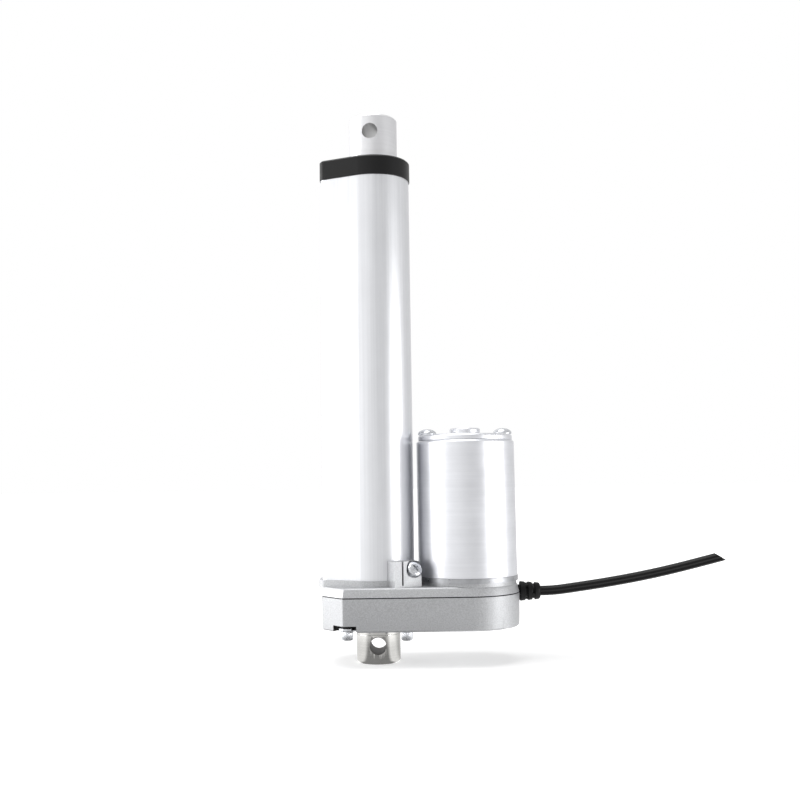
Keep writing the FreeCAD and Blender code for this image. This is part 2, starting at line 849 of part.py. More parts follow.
def screw_gear():
    wheel = gear(screw_gear_teeth, coarse_module, -tooth_shift, screw_gear_z,
                 screw_gear_top, 0.0, 0.0)
    slot = box((-drive_pin_dia / 2, -drive_pin_half, screw_gear_z),
               (drive_pin_dia / 2, drive_pin_half, screw_gear_z + drive_pin_dia))
    dish = ring(screw_gear_radius - gear_rim, drive_pin_half + gear_boss_wall,
                screw_gear_top - gear_dish_deep, screw_gear_top)
    return wheel.cut(cyl(journal_radius, screw_gear_z, screw_gear_top)).cut(slot).cut(dish)


def circlip_body():
    """The circlip's ring, sunk in its groove below the gear."""
    return ring(circlip_radius, journal_radius - circlip_sunk, screw_gear_z - circlip_thick, screw_gear_z)


def gear_circlip():
    mouth = box((0, -circlip_mouth / 2, screw_gear_z - circlip_thick),
                (circlip_radius + past, circlip_mouth / 2, screw_gear_z))
    return circlip_body().cut(mouth)


def gear_spacer():
    return ring(journal_radius + spacer_wall, journal_radius, screw_gear_top, bearing_bottom)


# Ball bearing of the lead screw

def race_groove():
    """The ball track, a ring of round section."""
    middle = (bearing_bottom + bearing_top) / 2
    return Part.makeTorus(ball_track, ball_radius + running_fit, V(0, 0, middle), Z_AXIS)


def bearing_outer_race():
    return ring(bearing_radius, outer_race_bore,
                bearing_bottom, bearing_top).cut(race_groove())


def bearing_inner_race():
    return ring(inner_race_radius, journal_radius, bearing_bottom, bearing_top).cut(race_groove())


def bearing_balls():
    middle = (bearing_bottom + bearing_top) / 2
    balls = []
    for i in range(ball_count):
        angle = 2 * math.pi * i / ball_count
        centre = V(ball_track * math.cos(angle), ball_track * math.sin(angle), middle)
        balls.append(Part.makeSphere(ball_radius, centre))
    return Part.Compound(balls)


def bearing_retainer():
    return ring(socket_radius, bearing_radius - bearing_lip, bearing_top, bearing_top + retainer_thick)


# Idler: a fine wheel and a coarse pinion turning on one axle

def idler_axle():
    return cyl(axle_radius, floor_top - axle_sunk + seat_gap, roof_bottom + axle_sunk - seat_gap, idler_x)


def idler_pinion():
    hub = cyl(idler_hub_radius, idler_wheel_z, idler_wheel_top, idler_x)
    teeth = gear(idler_pinion_teeth, coarse_module, tooth_shift, idler_pinion_z, idler_wheel_z, idler_x,
                 180 + 180 / idler_pinion_teeth)
    bore = cyl(axle_radius + running_fit, idler_pinion_z, idler_wheel_top, idler_x)
    return teeth.fuse(hub).cut(bore)


def idler_wheel():
    top = idler_wheel_top
    wheel = gear(idler_wheel_teeth, fine_module, -tooth_shift, idler_wheel_z, top, idler_x, 0.0)
    dish = ring(idler_wheel_radius - wheel_rim, idler_hub_radius + wheel_boss_wall,
                top - wheel_dish_deep, top, idler_x)
    return wheel.cut(cyl(idler_hub_radius, idler_wheel_z, top, idler_x)).cut(dish)


# Motor

def motor_can():
    return turned([
        (can_bore, front_plate_top),
        (can_radius, front_plate_top),
        (can_radius, can_top - can_edge),
        (can_radius - can_edge, can_top),
        (can_bore, can_top),
    ], motor_x)


def motor_front_plate():
    plate = cyl(front_plate_radius, pad_top, front_plate_top, motor_x)
    boss = cyl(motor_boss_dia / 2 - seat_gap, motor_boss_low, pad_top, motor_x)
    plate = plate.fuse(boss).cut(cyl(motor_bush_dia / 2, roof_bottom, front_plate_top, motor_x))
    for side in (-1, 1):
        plate = plate.cut(cyl(mount_screw_dia / 2, pad_top, front_plate_top, motor_x, side * mount_screw_y))
    return plate.cut(lead_slot(pad_top, front_plate_top))


def motor_mount_screws():
    screws = []
    for side in (-1, 1):
        y = side * mount_screw_y
        head = cyl(mount_head_dia / 2, roof_bottom - mount_head_high, roof_bottom, motor_x, y)
        screws.append(head.fuse(cyl(mount_screw_dia / 2, roof_bottom, front_plate_top, motor_x, y)))
    return Part.Compound(screws)


def motor_front_bush():
    return ring(motor_bush_dia / 2, shaft_radius + running_fit, motor_boss_low, front_plate_top, motor_x)


def motor_end_cap():
    plate = turned([
        (0, can_top),
        (end_cap_radius, can_top),
        (end_cap_radius, end_cap_top - end_cap_edge),
        (end_cap_radius - end_cap_edge, end_cap_top),
        (end_boss_dia / 2 + end_boss_edge, end_cap_top),
        (end_boss_dia / 2, end_cap_top + end_boss_edge),
        (end_boss_dia / 2, end_cap_top + end_boss_high - end_boss_edge),
        (end_boss_dia / 2 - end_boss_edge, end_cap_top + end_boss_high),
        (0, end_cap_top + end_boss_high),
    ], motor_x)
    spigot = cyl(can_bore, can_top - end_cap_spigot, can_top, motor_x)
    bearing = cyl(motor_bush_dia / 2 + motor_bush_seat, motor_bush_low, can_top, motor_x)
    bore = cyl(motor_bush_dia / 2, motor_bush_low, end_cap_top, motor_x)
    cap = plate.fuse([spigot, bearing]).cut(bore)
    for side in (-1, 1):
        x = motor_x + side * cap_screw_reach
        cap = cap.cut(cyl(cap_screw_dia / 2, can_top - end_cap_spigot, end_cap_top, x))
    return cap


def motor_cap_screws():
    shank_low = can_top - end_cap_spigot
    shank = cap_screw_dia / 2
    dome = [(across * cap_screw_head_dia, end_cap_top + up * cap_screw_head_high)
            for across, up in cap_screw_dome]
    profile = [(0, shank_low), (shank, shank_low), (shank, end_cap_top)] + dome + [(0, dome[-1][1])]
    return Part.Compound([turned(profile, motor_x + side * cap_screw_reach) for side in (-1, 1)])


def motor_rear_bush():
    return ring(motor_bush_dia / 2, shaft_radius + running_fit, motor_bush_low, can_top, motor_x)


def motor_magnets():
    halves = []
    for side in (-1, 1):
        wedge = Part.makeCylinder(can_bore, magnet_high - magnet_low, V(motor_x, 0, magnet_low),
                                  Z_AXIS, magnet_arc)
        wedge.rotate(V(motor_x, 0, 0), Z_AXIS, side * magnet_turn - magnet_arc / 2)
        halves.append(wedge.cut(cyl(can_bore - magnet_thick, magnet_low, magnet_high, motor_x)))
    return Part.Compound(halves)


def rotor_slot_shape(low, high, i):
    slot = box((motor_x + rotor_hub_radius, -rotor_slot_wide / 2, low),
               (motor_x + rotor_radius + past, rotor_slot_wide / 2, high))
    slot.rotate(V(motor_x, 0, 0), Z_AXIS, 360 * i / rotor_slots)
    return slot


def rotor_core():
    core = ring(rotor_radius, shaft_radius, rotor_low, rotor_high, motor_x)
    for i in range(rotor_slots):
        core = core.cut(rotor_slot_shape(rotor_low, rotor_high, i))
    return core


def rotor_windings():
    """The wire in the slots, with the two heads that join it at the ends."""
    bore = shaft_radius + winding_hub_gap
    lower = ring(winding_radius, bore, winding_low, rotor_low, motor_x)
    upper = ring(winding_radius, bore, rotor_high, winding_high, motor_x)
    inside = cyl(winding_radius, winding_low, winding_high, motor_x)
    bars = [rotor_slot_shape(rotor_low, rotor_high, i).common(inside) for i in range(rotor_slots)]
    return lower.fuse(bars + [upper])


def commutator():
    return ring(commutator_radius, shaft_radius, commutator_low, commutator_top, motor_x)


def brush_card():
    bore = commutator_radius + card_bore_gap
    card = ring(can_bore - seat_gap, bore, front_plate_top, card_top, motor_x)
    for side in (-1, 1):
        y = side * mount_screw_y
        card = card.cut(cyl(mount_screw_dia / 2 + slip_fit, front_plate_top, card_top, motor_x, y))
    return card


def brushes():
    """Two carbon blocks that stand on the card and reach to the commutator."""
    near = motor_x + commutator_radius + brush_gap
    blocks = []
    for opposite in (0, 180):
        block = box((near, -brush_wide / 2, card_top),
                    (near + brush_long, brush_wide / 2, card_top + brush_high))
        block.rotate(V(motor_x, 0, 0), Z_AXIS, opposite + brush_turn)
        blocks.append(block)
    return Part.Compound(blocks)


def motor_shaft():
    return cyl(shaft_radius, motor_pinion_z - shaft_past_pinion, can_top, motor_x)


def motor_pinion():
    teeth = gear(motor_pinion_teeth, fine_module, tooth_shift, motor_pinion_z, motor_pinion_top, motor_x,
                 180 + 180 / motor_pinion_teeth)
    return teeth.cut(cyl(shaft_radius, motor_pinion_z, motor_pinion_top, motor_x))


def motor_leads():
    """Two leads from the brush card down through the slot to the cable's inner end."""
    leads = []
    for side in (-1, 1):
        top = V(lead_x, side * lead_side, front_plate_top)
        bend = V(lead_x, side * lead_side, box_parting)
        end = V(grommet_inner(), side * lead_side, box_parting)
        leads.append(round_tube([top, bend, end], lead_dia / 2, lead_bend))
    return Part.Compound(leads)


# Limit switches

def switch_board():
    back = -channel_back + slip_fit
    return box((back, -board_half, board_bottom), (back + board_thick, board_half, board_top))


def limit_switch(z):
    low = z - (switch_long - nut_flange_high) / 2
    body = box((-board_front, -switch_half, low), (-switch_front, switch_half, low + switch_long))
    foot = z + (nut_flange_high - button_long) / 2
    button = box((-switch_front, -button_half, foot), (-button_front, button_half, foot + button_long))
    return body.fuse(button)


def lower_limit_switch():
    return limit_switch(nut_bottom)


def upper_limit_switch():
    return limit_switch(upper_switch_z)


# Cable

def grommet_seat():
    """Where the grommet's inner flange bears on the round wall."""
    return motor_x + math.sqrt((box_half_width - box_wall) ** 2 - (grommet_flange_dia / 2) ** 2)


def grommet_inner():
    return grommet_seat() - grommet_flange_thick


def cable_start():
    return box_right + grommet_long


def cable_grommet():
    """A tapered strain relief with raised ribs, a neck in the wall and an inner flange."""
    wall_in = grommet_seat()
    base = grommet_dia / 2
    tip = grommet_tip_dia / 2
    profile = [
        (0, grommet_inner()),
        (grommet_flange_dia / 2, grommet_inner()),
        (grommet_flange_dia / 2, wall_in),
        (grommet_neck_dia / 2, wall_in),
        (grommet_neck_dia / 2, box_right + grommet_stand_off),
        (base, box_right + grommet_stand_off),
    ]
    pitch = grommet_long / (grommet_ribs + grommet_end_share)
    for i in range(grommet_ribs):
        x = box_right + pitch * (i + 1) - grommet_groove_long
        radius = base + (tip - base) * (x - box_right) / grommet_long
        profile += [
            (radius, x),
            (radius - grommet_rib, x),
            (radius - grommet_rib, x + grommet_groove_long),
            (radius, x + grommet_groove_long),
        ]
    profile += [(tip, cable_start()), (0, cable_start())]
    body = turned(profile)
    body.rotate(ORIGIN, Y_AXIS, 90)
    body.translate(V(0, 0, box_parting))
    under_roof = box((grommet_inner() - past, -grommet_flange_dia, roof_bottom - seat_gap),
                     (grommet_seat(), grommet_flange_dia, pad_top))
    return body.cut(under_roof)


def round_tube(points, radius, bend=None):
    """A round bar along straight runs joined by tangent arcs.

    Each arc is as large as its two runs allow, or of radius bend.
    """
    edges = []
    start = points[0]
    for before, here, after in zip(points, points[1:], points[2:]):
        back = (before - here).normalize()
        ahead = (after - here).normalize()
        half_turn = (math.pi - back.getAngle(ahead)) / 2
        shorter = min(before.distanceToPoint(here), after.distanceToPoint(here))
        arc_radius = bend or bend_share * shorter / math.tan(half_turn)
        reach = arc_radius * math.tan(half_turn)
        middle = (back + ahead).normalize()
        depth = arc_radius / math.cos(half_turn) - arc_radius
        edges.append(Part.LineSegment(start, here + back * reach).toShape())
        edges.append(Part.Arc(here + back * reach, here + middle * depth, here + ahead * reach).toShape())
        start = here + ahead * reach
        if bend is None:
            print(f"cable bend radius {arc_radius:.0f} mm")
    edges.append(Part.LineSegment(start, points[-1]).toShape())
    path = Part.Wire(edges)
    section = Part.Wire([Part.makeCircle(radius, points[0], points[1] - points[0])])
    bar = path.makePipeShell([section], True, False)
    if bend is None:
        ideal = math.pi * radius ** 2 * path.Length
        print(f"cable length {path.Length:.1f} mm, volume {bar.Volume:.1f} of {ideal:.1f} mm3")
    return bar


def power_cable():
    start = V(cable_start(), 0, box_parting)
    return round_tube([start + V(*point) for point in cable_path], cable_dia / 2)


PIECES = [
    rear_clevis, clevis_bush, gearbox_housing, housing_gasket, gearbox_cover,
    tube_clamp_screw, housing_screws, screw_washers, outer_tube, tube_end_cap,
    rod_guide_bush, rod_wiper, rod_tube, rod_end, drive_nut, nut_pins,
    lead_screw, gear_drive_pin, screw_gear, gear_circlip, gear_spacer,
    bearing_outer_race, bearing_inner_race, bearing_balls, bearing_retainer,
    idler_axle, idler_pinion, idler_wheel,
    motor_can, motor_front_plate, motor_mount_screws, motor_front_bush,
    motor_end_cap, motor_cap_screws, motor_rear_bush, motor_magnets,
    rotor_core, rotor_windings, commutator, brush_card, brushes,
    motor_shaft, motor_pinion, motor_leads,
    switch_board, lower_limit_switch, upper_limit_switch,
    cable_grommet, power_cable,
]

os.makedirs("parts", exist_ok=True)
for piece in PIECES:
    shape = piece()
    if not shape.isValid() or not shape.Solids:
        raise RuntimeError(f"{piece.__name__} isn't a valid solid")
    shape.exportStep(f"parts/{piece.__name__}.step")
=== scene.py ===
import json
import math

import bmesh
import bpy
from bpy.props import FloatProperty, FloatVectorProperty, IntProperty, PointerProperty
from mathutils import Matrix, Vector

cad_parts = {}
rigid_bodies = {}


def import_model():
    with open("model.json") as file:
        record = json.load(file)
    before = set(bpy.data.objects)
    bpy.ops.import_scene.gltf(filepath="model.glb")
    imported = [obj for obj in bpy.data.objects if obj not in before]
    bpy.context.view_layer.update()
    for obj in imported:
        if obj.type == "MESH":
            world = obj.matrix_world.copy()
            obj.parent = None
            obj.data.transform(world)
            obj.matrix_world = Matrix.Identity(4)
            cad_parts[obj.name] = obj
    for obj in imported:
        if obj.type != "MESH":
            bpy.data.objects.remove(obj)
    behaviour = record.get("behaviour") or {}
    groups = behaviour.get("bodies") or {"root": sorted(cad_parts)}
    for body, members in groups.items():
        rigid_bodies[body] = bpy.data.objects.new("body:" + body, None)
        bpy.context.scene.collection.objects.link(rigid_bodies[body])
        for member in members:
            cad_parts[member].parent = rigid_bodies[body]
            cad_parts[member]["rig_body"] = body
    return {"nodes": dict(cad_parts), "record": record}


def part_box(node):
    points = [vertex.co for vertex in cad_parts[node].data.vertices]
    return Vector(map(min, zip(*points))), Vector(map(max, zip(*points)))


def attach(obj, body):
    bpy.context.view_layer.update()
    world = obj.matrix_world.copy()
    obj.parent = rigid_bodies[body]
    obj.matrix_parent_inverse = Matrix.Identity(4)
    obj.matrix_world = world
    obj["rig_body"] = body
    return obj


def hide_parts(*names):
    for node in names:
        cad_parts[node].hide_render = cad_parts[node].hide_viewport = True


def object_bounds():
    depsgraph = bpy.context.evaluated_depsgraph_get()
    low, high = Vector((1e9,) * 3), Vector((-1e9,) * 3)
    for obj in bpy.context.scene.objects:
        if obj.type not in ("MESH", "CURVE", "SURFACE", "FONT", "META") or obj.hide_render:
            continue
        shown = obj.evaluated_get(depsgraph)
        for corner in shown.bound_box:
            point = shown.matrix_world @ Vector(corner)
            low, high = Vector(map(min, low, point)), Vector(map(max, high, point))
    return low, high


bl_info = {
    "name": "Linear actuator finish",
    "version": (1, 0, 0),
    "blender": (4, 5, 0),
    "location": "3D View > Sidebar > Actuator",
    "description": "Dresses the actuator's frame with its finishes, small parts, cable and studio",
    "category": "Object",
}

MM = 0.001
UP = Vector((0, 0, 1))
MERGE = 0.002 * MM

# A Mix node's sockets go by number, because its colours and its numbers share their names
MIX_FACTOR = 0
COLOUR_A, COLOUR_B, COLOUR_OUT = 6, 7, 2
NUMBER_A, NUMBER_B, NUMBER_OUT = 2, 3, 0

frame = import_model()
cad_low, cad_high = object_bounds()

# The material slot that the record gives each node
SLOTS = {row["node"]: row["material_slot"] for row in frame["record"]["subparts"]}

# The motor's axis, in mm
MOTOR_X = 35.6

# The cable's route from the grommet's tip, in metres
CABLE_ROUTE = [
    (0.0639, 0.0, 0.0192),
    (0.0689, 0.0, 0.0192),
    (0.0769, 0.0, 0.0202),
    (0.0909, 0.0003, 0.02205),
    (0.1059, 0.0005, 0.02455),
    (0.1209, 0.0001, 0.02775),
    (0.1354, -0.0005, 0.0314),
]


# Small helpers

def body_of(node):
    """The body that a node of the frame belongs to."""
    return frame["nodes"][node]["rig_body"]


def finish_mesh(mesh, sharp=35.0):
    """Smooth shading, kept sharp where two faces meet at more than sharp degrees."""
    for face in mesh.polygons:
        face.use_smooth = True
    mesh.set_sharp_from_angle(angle=math.radians(sharp))


def object_from(bm, name, sharp=35.0):
    """A new object at the origin from a bmesh, with its faces turned outwards."""
    bmesh.ops.recalc_face_normals(bm, faces=bm.faces)
    mesh = bpy.data.meshes.new(name)
    bm.to_mesh(mesh)
    bm.free()
    finish_mesh(mesh, sharp)
    made = bpy.data.objects.new(name, mesh)
    bpy.context.scene.collection.objects.link(made)
    return made


def with_modifiers_applied(made, sharp=35.0):
    """Turns an object's modifiers into its own mesh."""
    graph = bpy.context.evaluated_depsgraph_get()
    mesh = bpy.data.meshes.new_from_object(made.evaluated_get(graph))
    made.modifiers.clear()
    made.data = mesh
    finish_mesh(mesh, sharp)


def stand_for(made, node, finish):
    """Lets a new piece with the named finish take a node's place, with that node's body and slot."""
    made.data.materials.clear()
    made.data.materials.append(bpy.data.materials[finish])
    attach(made, body_of(node))
    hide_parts(node)


def turned_part(bm, profile, steps, matrix):
    """Spins (radius, height) points, in mm, about Z and moves the result by matrix."""
    others = set(bm.verts)
    verts = [bm.verts.new((radius * MM, 0, height * MM)) for radius, height in profile]
    edges = [bm.edges.new(pair) for pair in zip(verts, verts[1:])]
    bmesh.ops.spin(bm, geom=verts + edges, cent=(0, 0, 0), axis=UP, dvec=(0, 0, 0), angle=math.tau,
                   steps=steps, use_merge=True, use_duplicate=False)
    new = [v for v in bm.verts if v not in others]
    bmesh.ops.transform(bm, matrix=matrix, verts=new)
    bmesh.ops.remove_doubles(bm, verts=new, dist=MERGE)


def cut_away(made, cutter):
    """Cuts a tool object out of a piece and removes the tool."""
    cut = made.modifiers.new("cut", "BOOLEAN")
    cut.operation = "DIFFERENCE"
    cut.solver = "EXACT"
    cut.object = cutter
    with_modifiers_applied(made)
    bpy.data.objects.remove(cutter)


def cross_recess(reach, half, depth, turn, top, matrix):
    """A tool for a cross recess at a screw's top, its wings twice half wide, in mm and degrees."""
    bm = bmesh.new()
    wing = [(half, half), (half, reach), (-half, reach)]
    outline = []
    for quarter in range(4):
        spin = Matrix.Rotation(math.radians(90 * quarter), 2)
        outline += [spin @ Vector(corner) for corner in wing]
    face = bm.faces.new([bm.verts.new((point.x, point.y, depth)) for point in outline])
    grown = bmesh.ops.extrude_face_region(bm, geom=[face])["geom"]
    bottom = [v for v in grown if isinstance(v, bmesh.types.BMVert)]
    bmesh.ops.translate(bm, vec=(0, 0, -2 * depth), verts=bottom)
    bmesh.ops.scale(bm, vec=(0.5, 0.5, 1), verts=bottom)
    bmesh.ops.scale(bm, vec=(MM, MM, MM), verts=bm.verts)
    place = matrix @ Matrix.Translation((0, 0, top * MM)) @ Matrix.Rotation(math.radians(turn), 4, "Z")
    bmesh.ops.transform(bm, matrix=place, verts=bm.verts)
    return object_from(bm, "recess_tool")


# Finishes: pattern sizes are in mm, and where the real marks are too fine to show in the render,
# a comment says that they are drawn coarser

def linear(code):
    """The linear colour of an sRGB hex code such as 'C8C9CC'."""
    shares = [int(code[i:i + 2], 16) / 255 for i in (0, 2, 4)]
    return [c / 12.92 if c <= 0.04045 else ((c + 0.055) / 1.055) ** 2.4 for c in shares] + [1.0]


def add_node(tree, kind, values=None, links=None, **settings):
    """Adds one shader node with its settings, socket values and incoming links."""
    made = tree.nodes.new("ShaderNode" + kind)
    for name, value in settings.items():
        setattr(made, name, value)
    for socket, value in (values or {}).items():
        made.inputs[socket].default_value = value
    for socket, source in (links or {}).items():
        tree.links.new(source, made.inputs[socket])
    return made


def ranged(tree, value, low, high, start=0.0, end=1.0):
    """Goes from start to end while a value goes from low to high."""
    return add_node(tree, "MapRange", {"From Min": low, "From Max": high, "To Min": start, "To Max": end},
                    {"Value": value}).outputs[0]


def length_of(tree, place, axes):
    """How far a place is from zero along the axes given as 1."""
    flat = add_node(tree, "VectorMath", {1: axes}, {0: place}, operation="MULTIPLY")
    return add_node(tree, "VectorMath", links={0: flat.outputs[0]}, operation="LENGTH").outputs["Value"]


class Finish:
    """A principled surface whose colour, roughness and relief can be layered with patterns."""

    def __init__(self, name, colour, roughness, metallic=0.0, **sockets):
        self.material = bpy.data.materials.get(name) or bpy.data.materials.new(name)
        self.material.use_nodes = True
        self.tree = self.material.node_tree
        self.tree.nodes.clear()
        self.shader = add_node(self.tree, "BsdfPrincipled",
                               {"Roughness": roughness, "Metallic": metallic, **sockets})
        output = add_node(self.tree, "OutputMaterial")
        self.tree.links.new(self.shader.outputs["BSDF"], output.inputs["Surface"])
        self.place = add_node(self.tree, "TexCoord").outputs["Object"]
        self.colour = linear(colour)
        self.colour_source = None
        self.roughness = roughness
        self.rough_source = None
        self.relief = None

    def noise(self, size, stretch=(1, 1, 1), detail=3.0):
        """Noise with blotches of about size mm, stretched along the axes."""
        scale = [1 / (size * MM * s) for s in stretch]
        sized = add_node(self.tree, "VectorMath", {1: scale}, {0: self.place}, operation="MULTIPLY")
        return add_node(self.tree, "TexNoise", {"Scale": 1.0, "Detail": detail, "Roughness": 0.6},
                        {"Vector": sized.outputs[0]}).outputs["Fac"]

    def tone(self, factor, light, dark, low=0.3, high=0.7):
        """Lets the pattern vary the colour between dark and light shares of itself."""
        values = {} if self.colour_source else {0: self.colour[:3]}
        links = {0: self.colour_source} if self.colour_source else {}
        links["Scale"] = ranged(self.tree, factor, low, high, dark, light)
        self.colour_source = add_node(self.tree, "VectorMath", values, links,
                                      operation="SCALE").outputs[0]
        return self

    def tint(self, factor, colour, low, high):
        """Mixes in another colour where the pattern is high."""
        values = {COLOUR_A: self.colour, COLOUR_B: linear(colour)}
        links = {MIX_FACTOR: ranged(self.tree, factor, low, high)}
        if self.colour_source:
            links[COLOUR_A] = self.colour_source
        self.colour_source = add_node(self.tree, "Mix", values, links,
                                      data_type="RGBA").outputs[COLOUR_OUT]
        return self

    def rough(self, factor, spread):
        """Varies the roughness by plus or minus spread."""
        self.rough_source = ranged(self.tree, factor, 0.25, 0.75, max(self.roughness - spread, 0.02),
                                   min(self.roughness + spread, 1.0))
        return self

    def bump(self, factor, height, strength):
        """Raises the surface by up to height mm where the pattern is high."""
        links = {"Height": factor}
        if self.relief:
            links["Normal"] = self.relief
        self.relief = add_node(self.tree, "Bump", {"Strength": strength, "Distance": height * MM},
                               links).outputs[0]
        return self

    def distance(self, centre, axes, turn=0.0):
        """How far a point is from centre, in mm, along the axes given as 1, after a turn about Z."""
        here = add_node(self.tree, "Mapping", {"Location": [-c * MM for c in centre]},
                        {"Vector": self.place}, vector_type="POINT")
        turned = add_node(self.tree, "VectorRotate", {"Angle": -math.radians(turn)},
                          {"Vector": here.outputs[0]}, rotation_type="Z_AXIS")
        return length_of(self.tree, turned.outputs[0], axes)

    def pocket(self, centre, radius, top, colour):
        """Paints shade into an upright pocket from its centre, in mm, below top."""
        beside = add_node(self.tree, "Math", {1: radius * MM}, {0: self.distance(centre, (1, 1, 0))},
                          operation="LESS_THAN")
        height = add_node(self.tree, "SeparateXYZ", links={0: self.place})
        below = add_node(self.tree, "Math", {1: top * MM}, {0: height.outputs["Z"]},
                         operation="LESS_THAN")
        inside = add_node(self.tree, "Math", links={0: beside.outputs[0], 1: below.outputs[0]},
                          operation="MULTIPLY").outputs[0]
        return self.tint(inside, colour, 0.0, 1.0)

    def bore(self, centre, turn, radius, colour, roughness):
        """Roughens a drilled hole across the piece and darkens it with painted shade: centre in mm,
        turned about Z.
        """
        clear, rim = 0.02, 0.12
        inside = ranged(self.tree, self.distance(centre, (1, 0, 1), turn), (radius + rim) * MM,
                        (radius + clear) * MM)
        self.tint(inside, colour, 0.0, 1.0)
        values = {NUMBER_A: self.roughness, NUMBER_B: roughness}
        links = {MIX_FACTOR: inside}
        if self.rough_source:
            links[NUMBER_A] = self.rough_source
        self.rough_source = add_node(self.tree, "Mix", values, links,
                                     data_type="FLOAT").outputs[NUMBER_OUT]
        return self

    def done(self):
        """Links what was layered to the shader and gives the material."""
        self.tree.links.new(self.colour_source, self.shader.inputs["Base Color"])
        if self.rough_source:
            self.tree.links.new(self.rough_source, self.shader.inputs["Roughness"])
        if self.relief:
            self.tree.links.new(self.relief, self.shader.inputs["Normal"])
        return self.material


def anodised_tube():
    """Clear-anodised extruded aluminium: silky, with faint die lines along its length."""
    # Real die lines are a few hundredths wide: drawn coarser, so that they show
    made = Finish("clear_anodised_aluminium", "E6E7EA", 0.34, 0.85)
    lines = made.noise(0.9, (1, 1, 120))
    cloud = made.noise(14)
    return made.tone(lines, 1.03, 0.96).tone(cloud, 1.02, 0.98).rough(lines, 0.05) \
        .bump(lines, 0.002, 0.5).done()


def silver_paint():
    """Silver lacquer with metal flake over a die casting: fine sparkle, a soft orange-peel skin."""
    made = Finish("silver_flake_lacquer", "BABBBD", 0.44, 0.55,
                  **{"Coat Weight": 0.12, "Coat Roughness": 0.45})
    # Real flake is finer than 0.1 mm and the peel about 1 mm: both are drawn coarser, so that they show
    flake = made.noise(0.45, detail=1.0)
    peel = made.noise(1.6, detail=2.0)
    cloud = made.noise(22)
    made.tone(flake, 1.14, 0.88).tone(cloud, 1.03, 0.97).rough(flake, 0.1)
    made.bump(flake, 0.012, 0.5).bump(peel, 0.02, 0.4)
    # Painted shade in the two screw pockets, whose walls stay in shadow
    pocket_x, pocket_y, reach, roof = -11.3, 15.6, 5.5, 8.98
    for side in (-1, 1):
        made.pocket((pocket_x, pocket_y * side, 0), reach, roof, "2C2C2C")
    return made.done()


def plated_can():
    """Nickel-plated drawn steel: smooth, with rolled lines round the can."""
    # The lines are drawn coarser than real ones, so that they show
    made = Finish("nickel_plated_steel", "E6E7EB", 0.36, 0.95)
    lines = made.noise(1.1, (30, 30, 1))
    cloud = made.noise(9)
    return made.tone(lines, 1.02, 0.97).tone(cloud, 1.02, 0.97).rough(cloud, 0.05).done()


def zinc_plate():
    """Zinc-plated pressed steel: greyer and rougher than the can, with faint spangle."""
    # The turned lines are drawn coarser than real ones, so that they show
    made = Finish("zinc_plated_plate", "ACADB0", 0.33, 0.95)
    spangle = made.noise(1.8, detail=1.0)
    lines = made.noise(0.3, (60, 60, 1))
    return made.tone(spangle, 1.06, 0.9).rough(spangle, 0.08).bump(lines, 0.003, 0.5).done()


def zinc_steel():
    """Zinc-plated steel fasteners: bright, slightly blue, with fine forging marks."""
    # The finer marks are drawn coarser than real ones, so that they show
    made = Finish("zinc_plated_steel", "DCDEE2", 0.25, 1.0)
    marks = made.noise(0.7)
    fine = made.noise(0.15)
    return made.tone(marks, 1.05, 0.88).rough(marks, 0.1).bump(fine, 0.004, 0.6).done()


def polished_clevis():
    """Turned and polished steel: mirror bands, with the lathe's fine rings round it."""
    # A lathe's feed is about 0.1 mm: the rings are drawn coarser, so that they show
    made = Finish("turned_polished_steel", "CECDCA", 0.1, 1.0)
    rings = made.noise(0.8, (60, 60, 1))
    handling = made.noise(3.0)
    # The bore's dark tint is painted shade inside the hole
    return made.tone(rings, 1.02, 0.95).tone(handling, 1.02, 0.95).rough(rings, 0.05) \
        .bump(rings, 0.0015, 0.6).bore((0, 0, 0), 0, 3.2, "3A3632", 0.5).done()


def polished_rod():
    """Ground and polished aluminium of the rod: bright and nearly white."""
    # Grinding marks are a few hundredths wide: drawn coarser, so that they show
    made = Finish("ground_aluminium", "E6E6E8", 0.34, 0.8)
    rings = made.noise(0.9, (60, 60, 1))
    cloud = made.noise(7)
    # The bore's grey tint is painted shade inside the hole
    return made.tone(rings, 1.02, 0.96).tone(cloud, 1.02, 0.98).rough(rings, 0.06) \
        .bump(rings, 0.001, 0.5).bore((0, 0, 205), -6, 3.2, "CCCCCC", 0.4).done()


def black_nylon():
    """Moulded glass-filled nylon: black, finely pebbled, dull."""
    # The pebble is drawn coarser than the real 0.1 mm, so that it shows
    made = Finish("moulded_black_nylon", "080809", 0.38, IOR=1.53,
                  **{"Specular IOR Level": 0.28})
    pebble = made.noise(0.35, detail=2.0)
    cloud = made.noise(6)
    return made.tone(cloud, 1.25, 0.85).rough(pebble, 0.08).bump(pebble, 0.012, 0.5).done()


def black_rubber():
    """Moulded black rubber: soft grey sheen on the ribs, with a dusty bloom in patches."""
    made = Finish("moulded_black_rubber", "0A0A0B", 0.45, IOR=1.52,
                  **{"Specular IOR Level": 0.16})
    cloud = made.noise(2.2)
    fine = made.noise(0.3)
    return made.tint(cloud, "141416", 0.5, 0.75).rough(fine, 0.1).bump(fine, 0.012, 0.6).done()


def black_cable():
    """Extruded black vinyl sheath: a soft gloss and long drag marks along it."""
    # The drag marks are drawn coarser than real ones, so that they show
    made = Finish("extruded_black_vinyl", "060606", 0.3, IOR=1.53,
                  **{"Specular IOR Level": 0.2})
    drag = made.noise(0.5, (30, 1, 1))
    fine = made.noise(0.25)
    return made.tone(drag, 1.4, 0.8).rough(fine, 0.08).bump(drag, 0.01, 0.5).bump(fine, 0.004, 0.4).done()


def sintered_bronze():
    """Oil-filled sintered bronze: dull brown metal with open pores, drawn coarse to show."""
    made = Finish("sintered_bronze", "4E3F2A", 0.55, 0.85)
    pores = made.noise(0.3)
    return made.tone(pores, 1.1, 0.7).rough(pores, 0.15).bump(pores, 0.02, 0.6).done()


